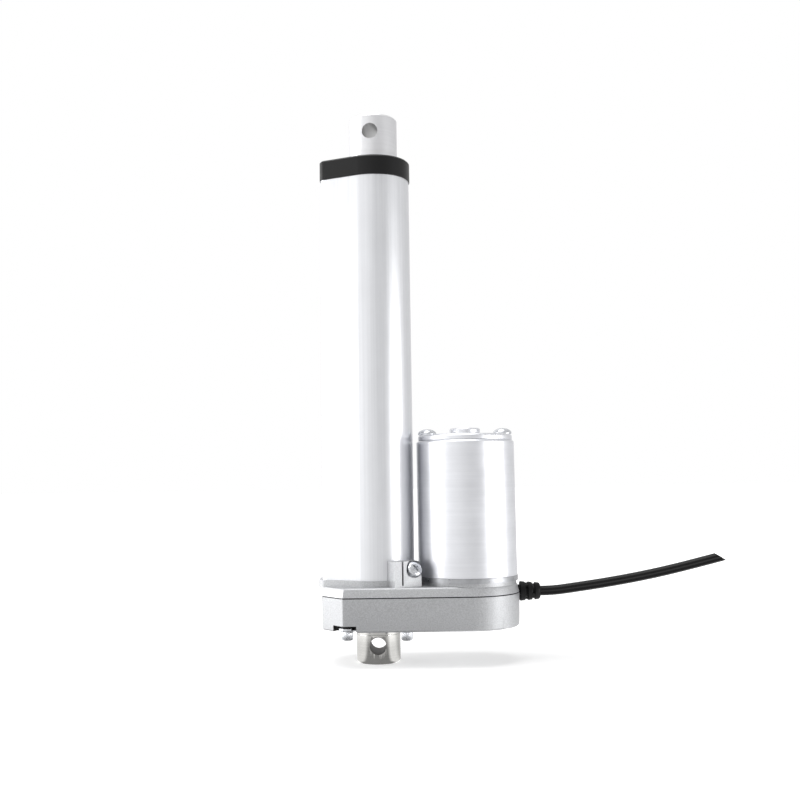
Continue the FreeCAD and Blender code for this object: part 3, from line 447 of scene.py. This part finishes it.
def sintered_iron():
    """Pressed and sintered iron: dark grey, with a dry oil film and pores drawn coarse to show."""
    made = Finish("sintered_iron", "6C6C6E", 0.45, 0.95)
    pores = made.noise(0.25)
    return made.tone(pores, 1.1, 0.75).rough(pores, 0.12).bump(pores, 0.015, 0.6).done()


def bearing_steel():
    """Ground bearing steel: mirror bright, its grinding rings drawn coarse to show."""
    made = Finish("ground_bearing_steel", "CFCFD2", 0.12, 1.0)
    rings = made.noise(0.2, (200, 200, 1))
    return made.tone(rings, 1.0, 0.93).rough(rings, 0.04).bump(rings, 0.001, 0.5).done()


def white_acetal():
    """Moulded acetal: creamy white with a waxy sheen."""
    made = Finish("moulded_white_acetal", "E6E3DA", 0.36, IOR=1.48,
                  **{"Subsurface Weight": 0.15, "Subsurface Scale": 0.001})
    cloud = made.noise(5)
    fine = made.noise(0.4)
    return made.tone(cloud, 1.02, 0.95).rough(fine, 0.06).bump(fine, 0.004, 0.5).done()


def ferrite():
    """Sintered ferrite magnet: charcoal grey and matt, its grain drawn coarse to show."""
    made = Finish("sintered_ferrite", "2E2E31", 0.7)
    grain = made.noise(0.4)
    return made.tone(grain, 1.25, 0.75).rough(grain, 0.1).bump(grain, 0.02, 0.6).done()


def laminated_steel():
    """Stacked electrical steel: half-millimetre sheets seen edge on."""
    made = Finish("stacked_steel_sheets", "808186", 0.38, 0.95)
    sheets = made.noise(0.5, (200, 200, 1), detail=0.0)
    return made.tone(sheets, 1.08, 0.7).rough(sheets, 0.1).bump(sheets, 0.03, 0.7).done()


def copper_wire():
    """Enamelled copper wire: orange-brown turns under clear varnish."""
    made = Finish("enamelled_copper_wire", "A4562B", 0.3, 0.9,
                  **{"Coat Weight": 0.6, "Coat Roughness": 0.15})
    turns = made.noise(0.45, (1, 1, 30))
    return made.tone(turns, 1.15, 0.6).rough(turns, 0.08).bump(turns, 0.08, 0.8).done()


def brass():
    """Turned brass segments, slightly tarnished, their turning marks drawn coarse to show."""
    made = Finish("turned_brass", "B8904A", 0.28, 1.0)
    rings = made.noise(0.2, (200, 200, 1))
    tarnish = made.noise(3)
    return made.tone(tarnish, 1.05, 0.8).rough(rings, 0.08).bump(rings, 0.002, 0.5).done()


def carbon():
    """Pressed carbon brush: dead black with graphite glints."""
    made = Finish("pressed_carbon", "222224", 0.55, 0.2)
    glint = made.noise(0.25)
    return made.tone(glint, 1.6, 0.8, 0.5, 0.75).bump(glint, 0.01, 0.5).done()


def brown_laminate():
    """Phenolic paper board: warm brown with a faint paper weave."""
    made = Finish("phenolic_board", "7A4A28", 0.45)
    weave = made.noise(0.6, (4, 1, 1))
    return made.tone(weave, 1.12, 0.85).bump(weave, 0.006, 0.5).done()


def green_laminate():
    """Glass-epoxy circuit board under green mask, its weave showing through."""
    made = Finish("green_circuit_board", "1F5B34", 0.35, **{"Coat Weight": 0.4})
    weave = made.noise(0.7, (1, 5, 5))
    return made.tone(weave, 1.15, 0.85).bump(weave, 0.005, 0.5).done()


def switch_plastic():
    """Moulded black thermoplastic of the two small switches."""
    made = Finish("moulded_switch_black", "202124", 0.4, IOR=1.53)
    fine = made.noise(0.3)
    return made.tone(fine, 1.15, 0.9).bump(fine, 0.006, 0.5).done()


def red_insulation():
    """Extruded wire insulation, red, with a soft gloss."""
    made = Finish("red_wire_insulation", "A8211D", 0.38, IOR=1.52)
    drag = made.noise(0.4, (8, 1, 8))
    return made.tone(drag, 1.1, 0.88).bump(drag, 0.006, 0.5).done()


def lead_screw_steel():
    """Rolled steel thread: bright flanks with a film of grease."""
    made = Finish("rolled_thread_steel", "9A9B9E", 0.27, 1.0,
                  **{"Coat Weight": 0.3, "Coat Roughness": 0.25})
    grease = made.noise(4)
    fine = made.noise(0.3)
    return made.tone(grease, 1.05, 0.8).rough(grease, 0.1).bump(fine, 0.004, 0.5).done()


# The finish of each material slot that the record names
FINISHES = {
    "plated_clevis": polished_clevis, "sintered_bronze": sintered_bronze, "silver_paint": silver_paint,
    "black_rubber": black_rubber, "zinc_steel": zinc_steel, "anodised_tube": anodised_tube,
    "black_nylon": black_nylon, "white_acetal": white_acetal, "bearing_steel": bearing_steel,
    "plated_can": plated_can, "zinc_plate": zinc_plate, "ferrite": ferrite,
    "brown_laminate": brown_laminate, "carbon": carbon, "red_insulation": red_insulation,
    "green_laminate": green_laminate, "switch_plastic": switch_plastic, "black_cable": black_cable,
    "polished_rod": polished_rod, "lead_screw_steel": lead_screw_steel, "sintered_iron": sintered_iron,
    "brass": brass, "laminated_steel": laminated_steel, "copper_wire": copper_wire,
}


# What a user may change

class ActuatorSizes(bpy.types.PropertyGroup):
    edge: FloatProperty(name="Edge softness", default=0.3 * MM, unit="LENGTH",
                        description="Width of the small bevel on moulded and cast edges")
    cable_diameter: FloatProperty(name="Cable diameter", default=3.75 * MM, unit="LENGTH",
                                  description="Outer diameter of the power cable")
    cable_groove: FloatProperty(name="Cable groove", default=0.55 * MM, unit="LENGTH",
                                description="Depth of the groove along the cable's side")
    grommet_ribs: IntProperty(name="Grommet ribs", default=3,
                              description="Raised ribs on the strain relief")


class ActuatorStudio(bpy.types.PropertyGroup):
    floor_colour: FloatVectorProperty(name="Floor", default=(0.85, 0.85, 0.85), subtype="COLOR",
                                      description="Colour of the floor")
    key_power: FloatProperty(name="Key light", default=7.5,
                             description="Power of the large lamp on the left, in watts")
    right_power: FloatProperty(name="Right light", default=1.2,
                               description="Power of the low lamp on the right, in watts")
    top_power: FloatProperty(name="Top light", default=5.5,
                             description="Power of the lamp overhead, in watts")
    sky: FloatProperty(name="Sky", default=0.3,
                       description="Strength of the even light from all round")


# Operators, one for each piece or group of pieces

class ACTUATOR_OT_finishes(bpy.types.Operator):
    """Gives every node of the frame its finish"""
    bl_idname = "actuator.finishes"
    bl_label = "Apply finishes"

    def execute(self, context):
        made = {slot: build() for slot, build in FINISHES.items()}
        for name, node in frame["nodes"].items():
            node.data.materials.clear()
            node.data.materials.append(made[SLOTS[name]])
        return {"FINISHED"}


class ACTUATOR_OT_soft_edges(bpy.types.Operator):
    """Replaces the cast, moulded and turned pieces by copies with softened edges"""
    bl_idname = "actuator.soft_edges"
    bl_label = "Soften edges"

    # How much of the edge softness each piece gets
    shares = {
        "gearbox_housing": 1.0, "gearbox_cover": 0.8, "tube_end_cap": 0.4, "rear_clevis": 0.8,
        "rod_end": 0.8, "motor_end_cap": 0.8, "motor_can": 0.8, "motor_front_plate": 0.8,
        "screw_washers": 0.4,
    }

    # In degrees: flatter triangles are one face, and sharper edges are softened
    flat_within = 0.5
    softened_from = 35.0
    shaded_sharp_from = 40.0

    # Bores too near the outer wall for a softened rim, and how far round and how high, in mm
    thin_walled = ((48.608, -12.003), (48.608, 12.003))
    thin_reach = 3.0
    thin_below = 12.0

    # The wall's backing there: heights and radii about the motor's axis in mm, degrees and steps
    wall_foot, wall_top = 6.8, 11.5
    wall_foot_radius, wall_top_radius = 19.80, 19.91
    backing_radius = 19.3
    backing_span, backing_steps = 18.0, 9

    def execute(self, context):
        for node, share in self.shares.items():
            self.soften(node, context.scene.actuator_sizes.edge * share)
        return {"FINISHED"}

    def soften(self, node, width):
        """Bevels a merged copy of a node's mesh and lets it take the node's place."""
        source = frame["nodes"][node].data
        bm = bmesh.new()
        bm.from_mesh(source)
        bmesh.ops.remove_doubles(bm, verts=bm.verts, dist=MERGE)
        bmesh.ops.dissolve_limit(bm, angle_limit=math.radians(self.flat_within), verts=bm.verts,
                                 edges=bm.edges)
        edges = [edge for edge in bm.edges if len(edge.link_faces) == 2
                 and edge.calc_face_angle() > math.radians(self.softened_from)
                 and not self.beside_thin_wall(edge)]
        bmesh.ops.bevel(bm, geom=edges, affect="EDGES", offset=width, offset_type="OFFSET", segments=2,
                        profile=0.5, material=-1, clamp_overlap=True)
        if node == "gearbox_housing":
            self.close_thin_wall(bm)
        made = object_from(bm, "soft_" + node, self.shaded_sharp_from)
        # Large faces keep their own direction, so that the bevels don't tilt the light on them
        weighted = made.modifiers.new("weighted", "WEIGHTED_NORMAL")
        weighted.mode = "FACE_AREA"
        weighted.keep_sharp = True
        with_modifiers_applied(made, self.shaded_sharp_from)
        stand_for(made, node, source.materials[0].name)

    def close_thin_wall(self, bm):
        """Backs the drafted wall where it runs thin past the two sunk screw heads."""
        section = ((self.backing_radius, self.wall_foot), (self.wall_foot_radius, self.wall_foot),
                   (self.wall_top_radius, self.wall_top), (self.backing_radius, self.wall_top))
        axis = Vector((MOTOR_X * MM, 0, 0))
        span = math.radians(self.backing_span)
        for x, y in self.thin_walled:
            start_turn = math.atan2(y, x - MOTOR_X) - span / 2
            verts = [bm.verts.new((radius * MM, 0, height * MM)) for radius, height in section]
            start = bm.faces.new(verts)
            bmesh.ops.rotate(bm, cent=(0, 0, 0), verts=verts, matrix=Matrix.Rotation(start_turn, 3, "Z"))
            bmesh.ops.translate(bm, vec=axis, verts=verts)
            swept = bmesh.ops.spin(bm, geom=[start], cent=axis, axis=UP, dvec=(0, 0, 0), angle=span,
                                   steps=self.backing_steps, use_merge=False, use_duplicate=False)
            last = [face for face in swept["geom_last"] if isinstance(face, bmesh.types.BMFace)]
            bmesh.ops.reverse_faces(bm, faces=last)

    def beside_thin_wall(self, edge):
        middle = (edge.verts[0].co + edge.verts[1].co) / 2 / MM
        return middle.z < self.thin_below and any(
            math.hypot(middle.x - x, middle.y - y) < self.thin_reach for x, y in self.thin_walled)


class ACTUATOR_OT_clamp_screw(bpy.types.Operator):
    """Makes the slanted pan-head screw of the tube clamp, with its cross recess"""
    bl_idname = "actuator.clamp_screw"
    bl_label = "Clamp screw"

    # Where the lug's slanted face meets the screw's axis in mm, before the lug's turn, in degrees
    place = (19.95, 5.3, 29.5)
    turn = -60.0
    tilt = 30.0

    # The outline in mm: radius and height above that face
    outline = ((0, -4.6), (1.2, -4.6), (1.5, -4.3), (1.5, -1.5), (2.85, -1.5), (3.08, -1.25),
               (3.1, -0.6), (2.95, 0.28), (2.6, 0.62), (2.0, 0.82), (1.2, 0.9), (0, 0.92))
    top = 0.9

    # The cross recess: reach, half width and depth in mm, and its turn in degrees
    recess = (1.75, 0.38, 1.1, 28.0)

    def execute(self, context):
        along = Matrix.Rotation(math.radians(self.turn), 4, "Z") \
            @ Matrix.Translation(Vector(self.place) * MM) \
            @ Matrix.Rotation(math.radians(90 - self.tilt), 4, "Y")
        bm = bmesh.new()
        turned_part(bm, self.outline, 48, along)
        made = object_from(bm, "clamp_screw", 30)
        cut_away(made, cross_recess(*self.recess, self.top, along))
        stand_for(made, "tube_clamp_screw", "zinc_plated_steel")
        return {"FINISHED"}


class ACTUATOR_OT_housing_screws(bpy.types.Operator):
    """Makes the six socket-head screws under the gearbox, knurled round their heads"""
    bl_idname = "actuator.housing_screws"
    bl_label = "Housing screws"

    # In mm, for each pair: where the screws stand, where their heads seat, and how high the heads are
    pairs = (
        (((-11.3, -15.6), (-11.3, 15.6)), 6.9, 3.4),
        (((11.3, -15.6), (11.3, 15.6)), 6.6, 3.4),
        (((48.608, -12.003), (48.608, 12.003)), 10.0, 2.8),
    )
    top = 21.6

    # The outline in mm: radius and height above the head's foot, then above its seat
    from_foot = ((0, 1.3), (1.0, 1.3), (1.05, 0), (1.75, 0), (2.0, 0.25), (2.15, 0.45))
    from_seat = ((2.15, -0.2), (2.0, 0), (1.25, 0))
    shank_radius = 1.25

    # Knurls round a head, beyond which radius in mm, and how deep as a share of it
    knurls = 30
    knurled_from = 2.1
    knurl_share = 0.055

    def execute(self, context):
        bm = bmesh.new()
        for places, seat, high in self.pairs:
            for x, y in places:
                self.screw(bm, x, y, seat, high)
        made = object_from(bm, "socket_screws", 28)
        stand_for(made, "housing_screws", "zinc_plated_steel")
        return {"FINISHED"}

    def screw(self, bm, x, y, seat, high):
        """One screw, every second edge of its head drawn in as a knurl."""
        others = set(bm.verts)
        steps = self.knurls * 2
        profile = [(radius, seat - high + up) for radius, up in self.from_foot]
        profile += [(radius, seat + up) for radius, up in self.from_seat]
        profile += [(self.shank_radius, self.top), (0, self.top)]
        turned_part(bm, profile, steps, Matrix.Translation((x * MM, y * MM, 0)))
        for vert in set(bm.verts) - others:
            out = Vector((vert.co.x / MM - x, vert.co.y / MM - y))
            around = math.degrees(math.atan2(out.y, out.x))
            if out.length > self.knurled_from and round(around * steps / 360) % 2:
                vert.co.x -= out.x * self.knurl_share * MM
                vert.co.y -= out.y * self.knurl_share * MM


class ACTUATOR_OT_motor_screws(bpy.types.Operator):
    """Makes the two domed screws on the motor's end cap, with their cross recesses"""
    bl_idname = "actuator.motor_screws"
    bl_label = "Motor end screws"

    # In mm: the cap's top, the domes, their screws' shanks, and how far they are from the motor's axis
    foot = 80.9
    high = 2.5
    radius = 3.7
    edge = 0.2
    wall = 0.5
    shank = 1.5
    root = 77.1
    reach = 15.1

    # The cross recesses: reach, half width and depth in mm, and each one's turn in degrees
    recess = (1.9, 0.42, 1.2)
    recess_turns = (20.0, 57.0)

    def execute(self, context):
        spring = self.foot + self.wall
        dome = [(self.radius * math.cos(a), spring + (self.high - self.wall) * math.sin(a))
                for a in [math.radians(10 * i) for i in range(9)]]
        top = self.foot + self.high
        profile = [(0, self.root), (self.shank, self.root), (self.shank, self.foot),
                   (self.radius - self.edge, self.foot), (self.radius, self.foot + self.edge), *dome,
                   (0, top)]
        bm = bmesh.new()
        places = [Matrix.Translation(((MOTOR_X + side * self.reach) * MM, 0, 0)) for side in (-1, 1)]
        for place in places:
            turned_part(bm, profile, 40, place)
        made = object_from(bm, "domed_screws", 30)
        for place, turn in zip(places, self.recess_turns):
            cut_away(made, cross_recess(*self.recess, turn, top, place))
        stand_for(made, "motor_cap_screws", "zinc_plated_steel")
        return {"FINISHED"}


class ACTUATOR_OT_grommet(bpy.types.Operator):
    """Makes the ribbed rubber strain relief, with webs across its grooves"""
    bl_idname = "actuator.grommet"
    bl_label = "Cable grommet"

    # In mm along X: the gearbox's end face, the flange's near side and the tip
    end_face = 55.7
    start = 55.85
    tip = 63.9

    # In mm: the axis's height, the radii, the grooves, and the webs across them
    axis_height = 19.2
    neck_radius = 2.5
    base_radius = 3.8
    tip_radius = 3.2
    groove = 0.9
    groove_depth = 1.15
    web_size = (1.1, 1.7, 1.0)
    web_sunk = 0.62
    web_turn = 35.0

    def execute(self, context):
        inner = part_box("cable_grommet")[0].x / MM
        ribs = context.scene.actuator_sizes.grommet_ribs
        pitch = (self.tip - self.end_face) / ribs
        grooves = [self.end_face + pitch * (i + 1) - self.groove / 2 for i in range(ribs - 1)]
        profile = [(0.0, inner), (self.neck_radius - 0.4, inner), (self.neck_radius, inner + 0.2),
                   (self.neck_radius, self.start), (self.base_radius - 0.25, self.start),
                   (self.base_radius, self.start + 0.25)]
        for at in grooves:
            end = at + self.groove
            radius = self.radius_at(at)
            floor = radius - self.groove_depth
            profile += [(radius, at - 0.22), (radius - 0.2, at), (floor, at + 0.08), (floor, end - 0.08),
                        (radius - 0.24, end), (radius - 0.04, end + 0.22)]
        profile += [(self.tip_radius, self.tip - 0.7), (self.tip_radius - 0.35, self.tip - 0.2),
                    (self.tip_radius - 0.9, self.tip), (0.0, self.tip)]
        bm = bmesh.new()
        turned_part(bm, profile, 64, Matrix.Translation((0, 0, self.axis_height * MM))
                    @ Matrix.Rotation(math.radians(90), 4, "Y"))
        for i, at in enumerate(grooves):
            self.webs(bm, at, self.web_turn + 90 * (i % 2))
        made = object_from(bm, "ribbed_grommet", 32)
        stand_for(made, "cable_grommet", "moulded_black_rubber")
        return {"FINISHED"}

    def radius_at(self, at):
        """The ribs' radius at a place along X."""
        share = (at - self.end_face) / (self.tip - self.end_face)
        return self.base_radius + (self.tip_radius - self.base_radius) * share

    def webs(self, bm, at, turn):
        """Two blocks on opposite sides of the groove that starts at a place along X."""
        out = (self.radius_at(at) - self.web_sunk) * MM
        middle = Vector((at + self.groove / 2, 0, self.axis_height)) * MM
        for side in (-1, 1):
            verts = bmesh.ops.create_cube(bm, size=1.0)["verts"]
            bmesh.ops.scale(bm, vec=Vector(self.web_size) * MM, verts=verts)
            bmesh.ops.translate(bm, vec=(0, 0, side * out), verts=verts)
            bmesh.ops.rotate(bm, cent=(0, 0, 0), verts=verts,
                             matrix=Matrix.Rotation(math.radians(turn), 3, "X"))
            bmesh.ops.translate(bm, vec=middle, verts=verts)


class ACTUATOR_OT_cable(bpy.types.Operator):
    """Makes the free cable along its route, grooved along its side and cut off slanting"""
    bl_idname = "actuator.cable"
    bl_label = "Power cable"

    sides = 36
    length = 72.7 * MM

    # Where the groove lies round the cable and half its width, in degrees
    groove_at = -163.0
    groove_half = 26.0

    # How far the cut leans along the cable for each mm across it
    cut_slant = 0.95

    # The cores in mm: off the cable's middle, radius, length, their middle behind the cut, and how
    # near the cut an end is slanted with it
    core_apart = 0.62
    core_radius = 0.45
    core_long = 2.6
    core_back = 1.2
    core_end = 0.5

    def execute(self, context):
        sizes = context.scene.actuator_sizes
        line = self.line()
        radius = sizes.cable_diameter / 2
        bm = bmesh.new()
        ring = bmesh.ops.create_circle(bm, cap_ends=False, radius=radius, segments=self.sides)["verts"]
        for vert in ring:
            around = math.degrees(math.atan2(vert.co.y, vert.co.x))
            near = max(0.0, 1 - abs((around - self.groove_at + 180) % 360 - 180) / self.groove_half)
            vert.co *= 1 - sizes.cable_groove / radius * math.sin(near * math.pi / 2) ** 2
        stations = self.stations(line)
        bmesh.ops.transform(bm, matrix=stations[0], verts=ring)
        edges = list(dict.fromkeys(e for v in ring for e in v.link_edges))
        bmesh.ops.contextual_create(bm, geom=edges)
        for before, after in zip(stations, stations[1:]):
            grown = bmesh.ops.extrude_edge_only(bm, edges=edges)["geom"]
            ring = [v for v in grown if isinstance(v, bmesh.types.BMVert)]
            edges = [e for e in grown if isinstance(e, bmesh.types.BMEdge)]
            bmesh.ops.transform(bm, matrix=after @ before.inverted(), verts=ring)
        self.slant(ring, stations[-1])
        bmesh.ops.contextual_create(bm, geom=edges)
        made = object_from(bm, "free_cable", 40)
        cores = self.cores(stations[-3:])
        stand_for(made, "power_cable", "extruded_black_vinyl")
        return {"FINISHED"}

    def line(self):
        """Points along the route's smooth line."""
        curve = bpy.data.curves.new("cable_line", "CURVE")
        curve.dimensions = "3D"
        spline = curve.splines.new("NURBS")
        spline.points.add(len(CABLE_ROUTE) - 1)
        for point, place in zip(spline.points, CABLE_ROUTE):
            point.co = (*place, 1.0)
        spline.order_u = 3
        spline.use_endpoint_u = True
        spline.resolution_u = 12
        holder = bpy.data.objects.new("cable_line", curve)
        bpy.context.scene.collection.objects.link(holder)
        graph = bpy.context.evaluated_depsgraph_get()
        mesh = bpy.data.meshes.new_from_object(holder.evaluated_get(graph))
        points = [v.co.copy() for v in mesh.vertices]
        bpy.data.objects.remove(holder)
        return points

    def stations(self, line):
        """A matrix at each point, its Z along the cable and its Y as upright as it can be."""
        found = []
        for i, point in enumerate(line):
            ahead = (line[min(i + 1, len(line) - 1)] - line[max(i - 1, 0)]).normalized()
            side = UP.cross(ahead).normalized()
            upright = ahead.cross(side)
            turn = Matrix((side, upright, ahead)).transposed().to_4x4()
            found.append(Matrix.Translation(point) @ turn)
        return found

    def slant(self, ring, station):
        """Leans the last ring so that the cable's lower side reaches further."""
        back = station.inverted()
        for vert in ring:
            inside = back @ vert.co
            inside.z -= inside.y * self.cut_slant
            vert.co = station @ inside

    def cores(self, stations):
        """The two insulated conductors that show on the cut face."""
        bm = bmesh.new()
        cut = stations[-1]
        for side in (-1, 1):
            place = cut @ Matrix.Translation(Vector((side * self.core_apart, 0, -self.core_back)) * MM)
            made = bmesh.ops.create_cone(bm, cap_ends=True, segments=20, radius1=self.core_radius * MM,
                                         radius2=self.core_radius * MM, depth=self.core_long * MM,
                                         matrix=place)["verts"]
            self.slant([v for v in made if (cut.inverted() @ v.co).z > -self.core_end * MM], cut)
        made = object_from(bm, "cable_cores", 30)
        made.data.materials.append(bpy.data.materials["enamelled_copper_wire"])
        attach(made, body_of("power_cable"))
        return made


class ACTUATOR_OT_stage(bpy.types.Operator):
    """Makes the floor, the lamps, the sky and the camera"""
    bl_idname = "actuator.stage"
    bl_label = "Stage"

    # The photograph's camera: place and sensor in mm, turns in degrees, lens in the picture's pixels
    eye = (13.1, -425.3, 64.3)
    yaw, pitch, roll = 0.4, 7.43, -0.85
    image_width = 800.0
    focal_pixels = 1053.0
    centre_lift_pixels = -60.0
    sensor = 36.0

    # Each lamp's place and size in metres, and the studio value that holds its power
    lamps = {
        "key_lamp": ((-0.96, 0.03, 0.2), (0.9, 0.5), "key_power"),
        "right_lamp": ((0.592, -0.225, 0.085), (0.32, 0.16), "right_power"),
        "top_lamp": ((-0.15, -0.1, 1.0), (0.8, 0.8), "top_power"),
    }

    # In metres from the floor's middle: its edge, where its glow changes and between what strengths,
    # and where its mirrored light changes from near to paper and from paper to low
    floor_half = 6.0
    glow_zone, glow_strengths = (0.15, 0.6), (0.47, 1.0)
    paper_zone = (0.05, 0.1)
    low_zone = (0.25, 0.45)

    # What shines from each side, by degrees from the camera's side towards the right: above the
    # horizon, far over the paper, from the paper near by, and from right beside the object. Over the
    # paper these are painted light and shade that only mirrors see: patches of painted light towards
    # the lamps' sides, and painted shade on the floor in front, right beside the object.
    high_round = ((-180, 0.95), (-120, 1.08), (-30, 1.08), (-13, 0.98), (8, 0.72), (38, 0.66), (62, 0.68),
                  (100, 0.72), (140, 0.72), (180, 0.95))
    low_round = ((-180, 0.95), (-120, 1.2), (-30, 1.12), (-13, 0.98), (8, 0.74), (38, 0.78), (58, 1.25),
                 (80, 1.25), (104, 0.9), (140, 0.78), (180, 0.95))
    paper_round = ((-180, 0.95), (-120, 1.7), (-70, 1.7), (-50, 1.1), (-25, 0.9), (0, 0.83), (45, 0.83),
                   (58, 1.9), (85, 1.9), (105, 1.1), (140, 0.8), (180, 0.95))
    near_round = ((-180, 0.9), (-80, 1.15), (-66, 1.1), (-50, 0.34), (45, 0.3), (60, 1.15), (92, 1.1),
                  (120, 0.6), (180, 0.9))

    def execute(self, context):
        studio = context.scene.actuator_studio
        self.floor(studio)
        self.sky(studio)
        for name, (place, size, power) in self.lamps.items():
            self.lamp(name, place, size, getattr(studio, power))
        self.camera()
        context.scene.view_settings.view_transform = "Standard"
        return {"FINISHED"}

    def brightness_round(self, tree, place, levels):
        """How bright the studio is in the direction of a place, seen from the object."""
        axes = add_node(tree, "SeparateXYZ", links={0: place})
        front = add_node(tree, "Math", {1: -1.0}, {0: axes.outputs["Y"]}, operation="MULTIPLY")
        turn = add_node(tree, "Math", links={0: axes.outputs["X"], 1: front.outputs[0]},
                        operation="ARCTAN2")
        ramp = add_node(tree, "ValToRGB", links={0: ranged(tree, turn.outputs[0], -math.pi, math.pi)})
        points = ramp.color_ramp.elements
        while len(points) < len(levels):
            points.new(0.5)
        for point, (degrees, level) in zip(points, levels):
            point.position = (degrees + 180) / 360
            point.color = (level, level, level, 1.0)
        return ramp.outputs["Color"]

    def choose(self, tree, share, first, second):
        """Mixes from one shader to another by a share."""
        return add_node(tree, "MixShader", links={0: share, 1: first.outputs[0], 2: second.outputs[0]})

    def seen(self, tree, light):
        """One for what the camera sees straight or through a clear thing, otherwise zero."""
        return add_node(tree, "Math", links={0: light.outputs["Is Camera Ray"],
                                             1: light.outputs["Is Transmission Ray"]},
                        operation="MAXIMUM").outputs[0]

    def floor(self, studio):
        """White for the camera, and in a mirror as bright as the studio's sides, with painted light and
        painted shade that only mirrors see.
        """
        bm = bmesh.new()
        bmesh.ops.create_grid(bm, x_segments=1, y_segments=1, size=self.floor_half)
        bmesh.ops.translate(bm, vec=(0, 0, cad_low.z), verts=bm.verts)
        floor = object_from(bm, "floor")
        paper = bpy.data.materials.new("white_paper")
        paper.use_nodes = True
        tree = paper.node_tree
        tree.nodes.clear()
        light = add_node(tree, "LightPath")
        around = add_node(tree, "TexCoord").outputs["Object"]
        diffuse = add_node(tree, "BsdfDiffuse", {"Color": (*studio.floor_colour, 1.0)})
        away = length_of(tree, around, (1, 1, 0))
        strength = ranged(tree, away, *self.glow_zone, *self.glow_strengths)
        glow = add_node(tree, "Emission", {"Color": (1, 1, 1, 1)}, {"Strength": strength})
        both = add_node(tree, "AddShader", links={0: diffuse.outputs[0], 1: glow.outputs[0]})
        level = self.brightness_round(tree, around, self.near_round)
        for zone, levels in ((self.paper_zone, self.paper_round), (self.low_zone, self.low_round)):
            level = add_node(tree, "Mix", data_type="RGBA", links={
                MIX_FACTOR: ranged(tree, away, *zone), COLOUR_A: level,
                COLOUR_B: self.brightness_round(tree, around, levels)}).outputs[COLOUR_OUT]
        mirrored = add_node(tree, "Emission", links={"Color": level})
        plain = self.choose(tree, self.seen(tree, light), diffuse, both)
        mix = self.choose(tree, light.outputs["Is Glossy Ray"], plain, mirrored)
        add_node(tree, "OutputMaterial", links={"Surface": mix.outputs[0]})
        floor.data.materials.append(paper)

    def sky(self, studio):
        """White for the camera, dim for matt surfaces, and in a mirror brighter or darker by its side."""
        world = bpy.data.worlds.new("studio")
        world.use_nodes = True
        tree = world.node_tree
        tree.nodes.clear()
        light = add_node(tree, "LightPath")
        around = add_node(tree, "TexCoord").outputs["Generated"]
        even = add_node(tree, "Background", {"Color": (1, 1, 1, 1), "Strength": studio.sky})
        mirrored = add_node(tree, "Background",
                            links={"Color": self.brightness_round(tree, around, self.high_round)})
        white = add_node(tree, "Background", {"Color": (1, 1, 1, 1)})
        glossy = self.choose(tree, light.outputs["Is Glossy Ray"], even, mirrored)
        mix = self.choose(tree, self.seen(tree, light), glossy, white)
        add_node(tree, "OutputWorld", links={"Surface": mix.outputs[0]})
        bpy.context.scene.world = world

    def lamp(self, name, place, size, power):
        data = bpy.data.lights.new(name, "AREA")
        data.shape = "RECTANGLE"
        data.size, data.size_y = size
        data.energy = power
        made = bpy.data.objects.new(name, data)
        made.location = place
        middle = (cad_low + cad_high) / 2
        made.rotation_mode = "QUATERNION"
        made.rotation_quaternion = (middle - Vector(place)).to_track_quat("-Z", "Y")
        bpy.context.scene.collection.objects.link(made)

    def camera(self):
        data = bpy.data.cameras.new("photo_view")
        data.sensor_width = self.sensor
        data.lens = self.focal_pixels / self.image_width * self.sensor
        data.shift_y = self.centre_lift_pixels / self.image_width
        made = bpy.data.objects.new("photo_view", data)
        made.matrix_world = Matrix.Translation(Vector(self.eye) * MM) \
            @ Matrix.Rotation(math.radians(self.yaw), 4, "Z") \
            @ Matrix.Rotation(math.radians(90 + self.pitch), 4, "X") \
            @ Matrix.Rotation(math.radians(self.roll), 4, "Z")
        bpy.context.scene.collection.objects.link(made)
        bpy.context.scene.camera = made


class ACTUATOR_PT_panel(bpy.types.Panel):
    """Lists the steps that dress the actuator"""
    bl_idname = "ACTUATOR_PT_panel"
    bl_label = "Linear actuator"
    bl_space_type = "VIEW_3D"
    bl_region_type = "UI"
    bl_category = "Actuator"

    def draw(self, context):
        for group in (context.scene.actuator_sizes, context.scene.actuator_studio):
            for name in group.bl_rna.properties.keys():
                if name not in ("rna_type", "name"):
                    self.layout.prop(group, name)
        for operator in OPERATORS:
            self.layout.operator(operator.bl_idname)


OPERATORS = (
    ACTUATOR_OT_stage, ACTUATOR_OT_finishes, ACTUATOR_OT_grommet, ACTUATOR_OT_cable,
    ACTUATOR_OT_soft_edges, ACTUATOR_OT_clamp_screw, ACTUATOR_OT_housing_screws, ACTUATOR_OT_motor_screws,
)
CLASSES = (ActuatorSizes, ActuatorStudio, *OPERATORS, ACTUATOR_PT_panel)


def register():
    for cls in CLASSES:
        bpy.utils.register_class(cls)
    bpy.types.Scene.actuator_sizes = PointerProperty(type=ActuatorSizes)
    bpy.types.Scene.actuator_studio = PointerProperty(type=ActuatorStudio)


def unregister():
    del bpy.types.Scene.actuator_studio
    del bpy.types.Scene.actuator_sizes
    for cls in reversed(CLASSES):
        bpy.utils.unregister_class(cls)


def main():
    register()
    bpy.ops.actuator.stage()
    bpy.ops.actuator.finishes()
    bpy.ops.actuator.grommet()
    bpy.ops.actuator.cable()
    bpy.ops.actuator.soft_edges()
    bpy.ops.actuator.clamp_screw()
    bpy.ops.actuator.housing_screws()
    bpy.ops.actuator.motor_screws()


if __name__ == "__main__":
    main()
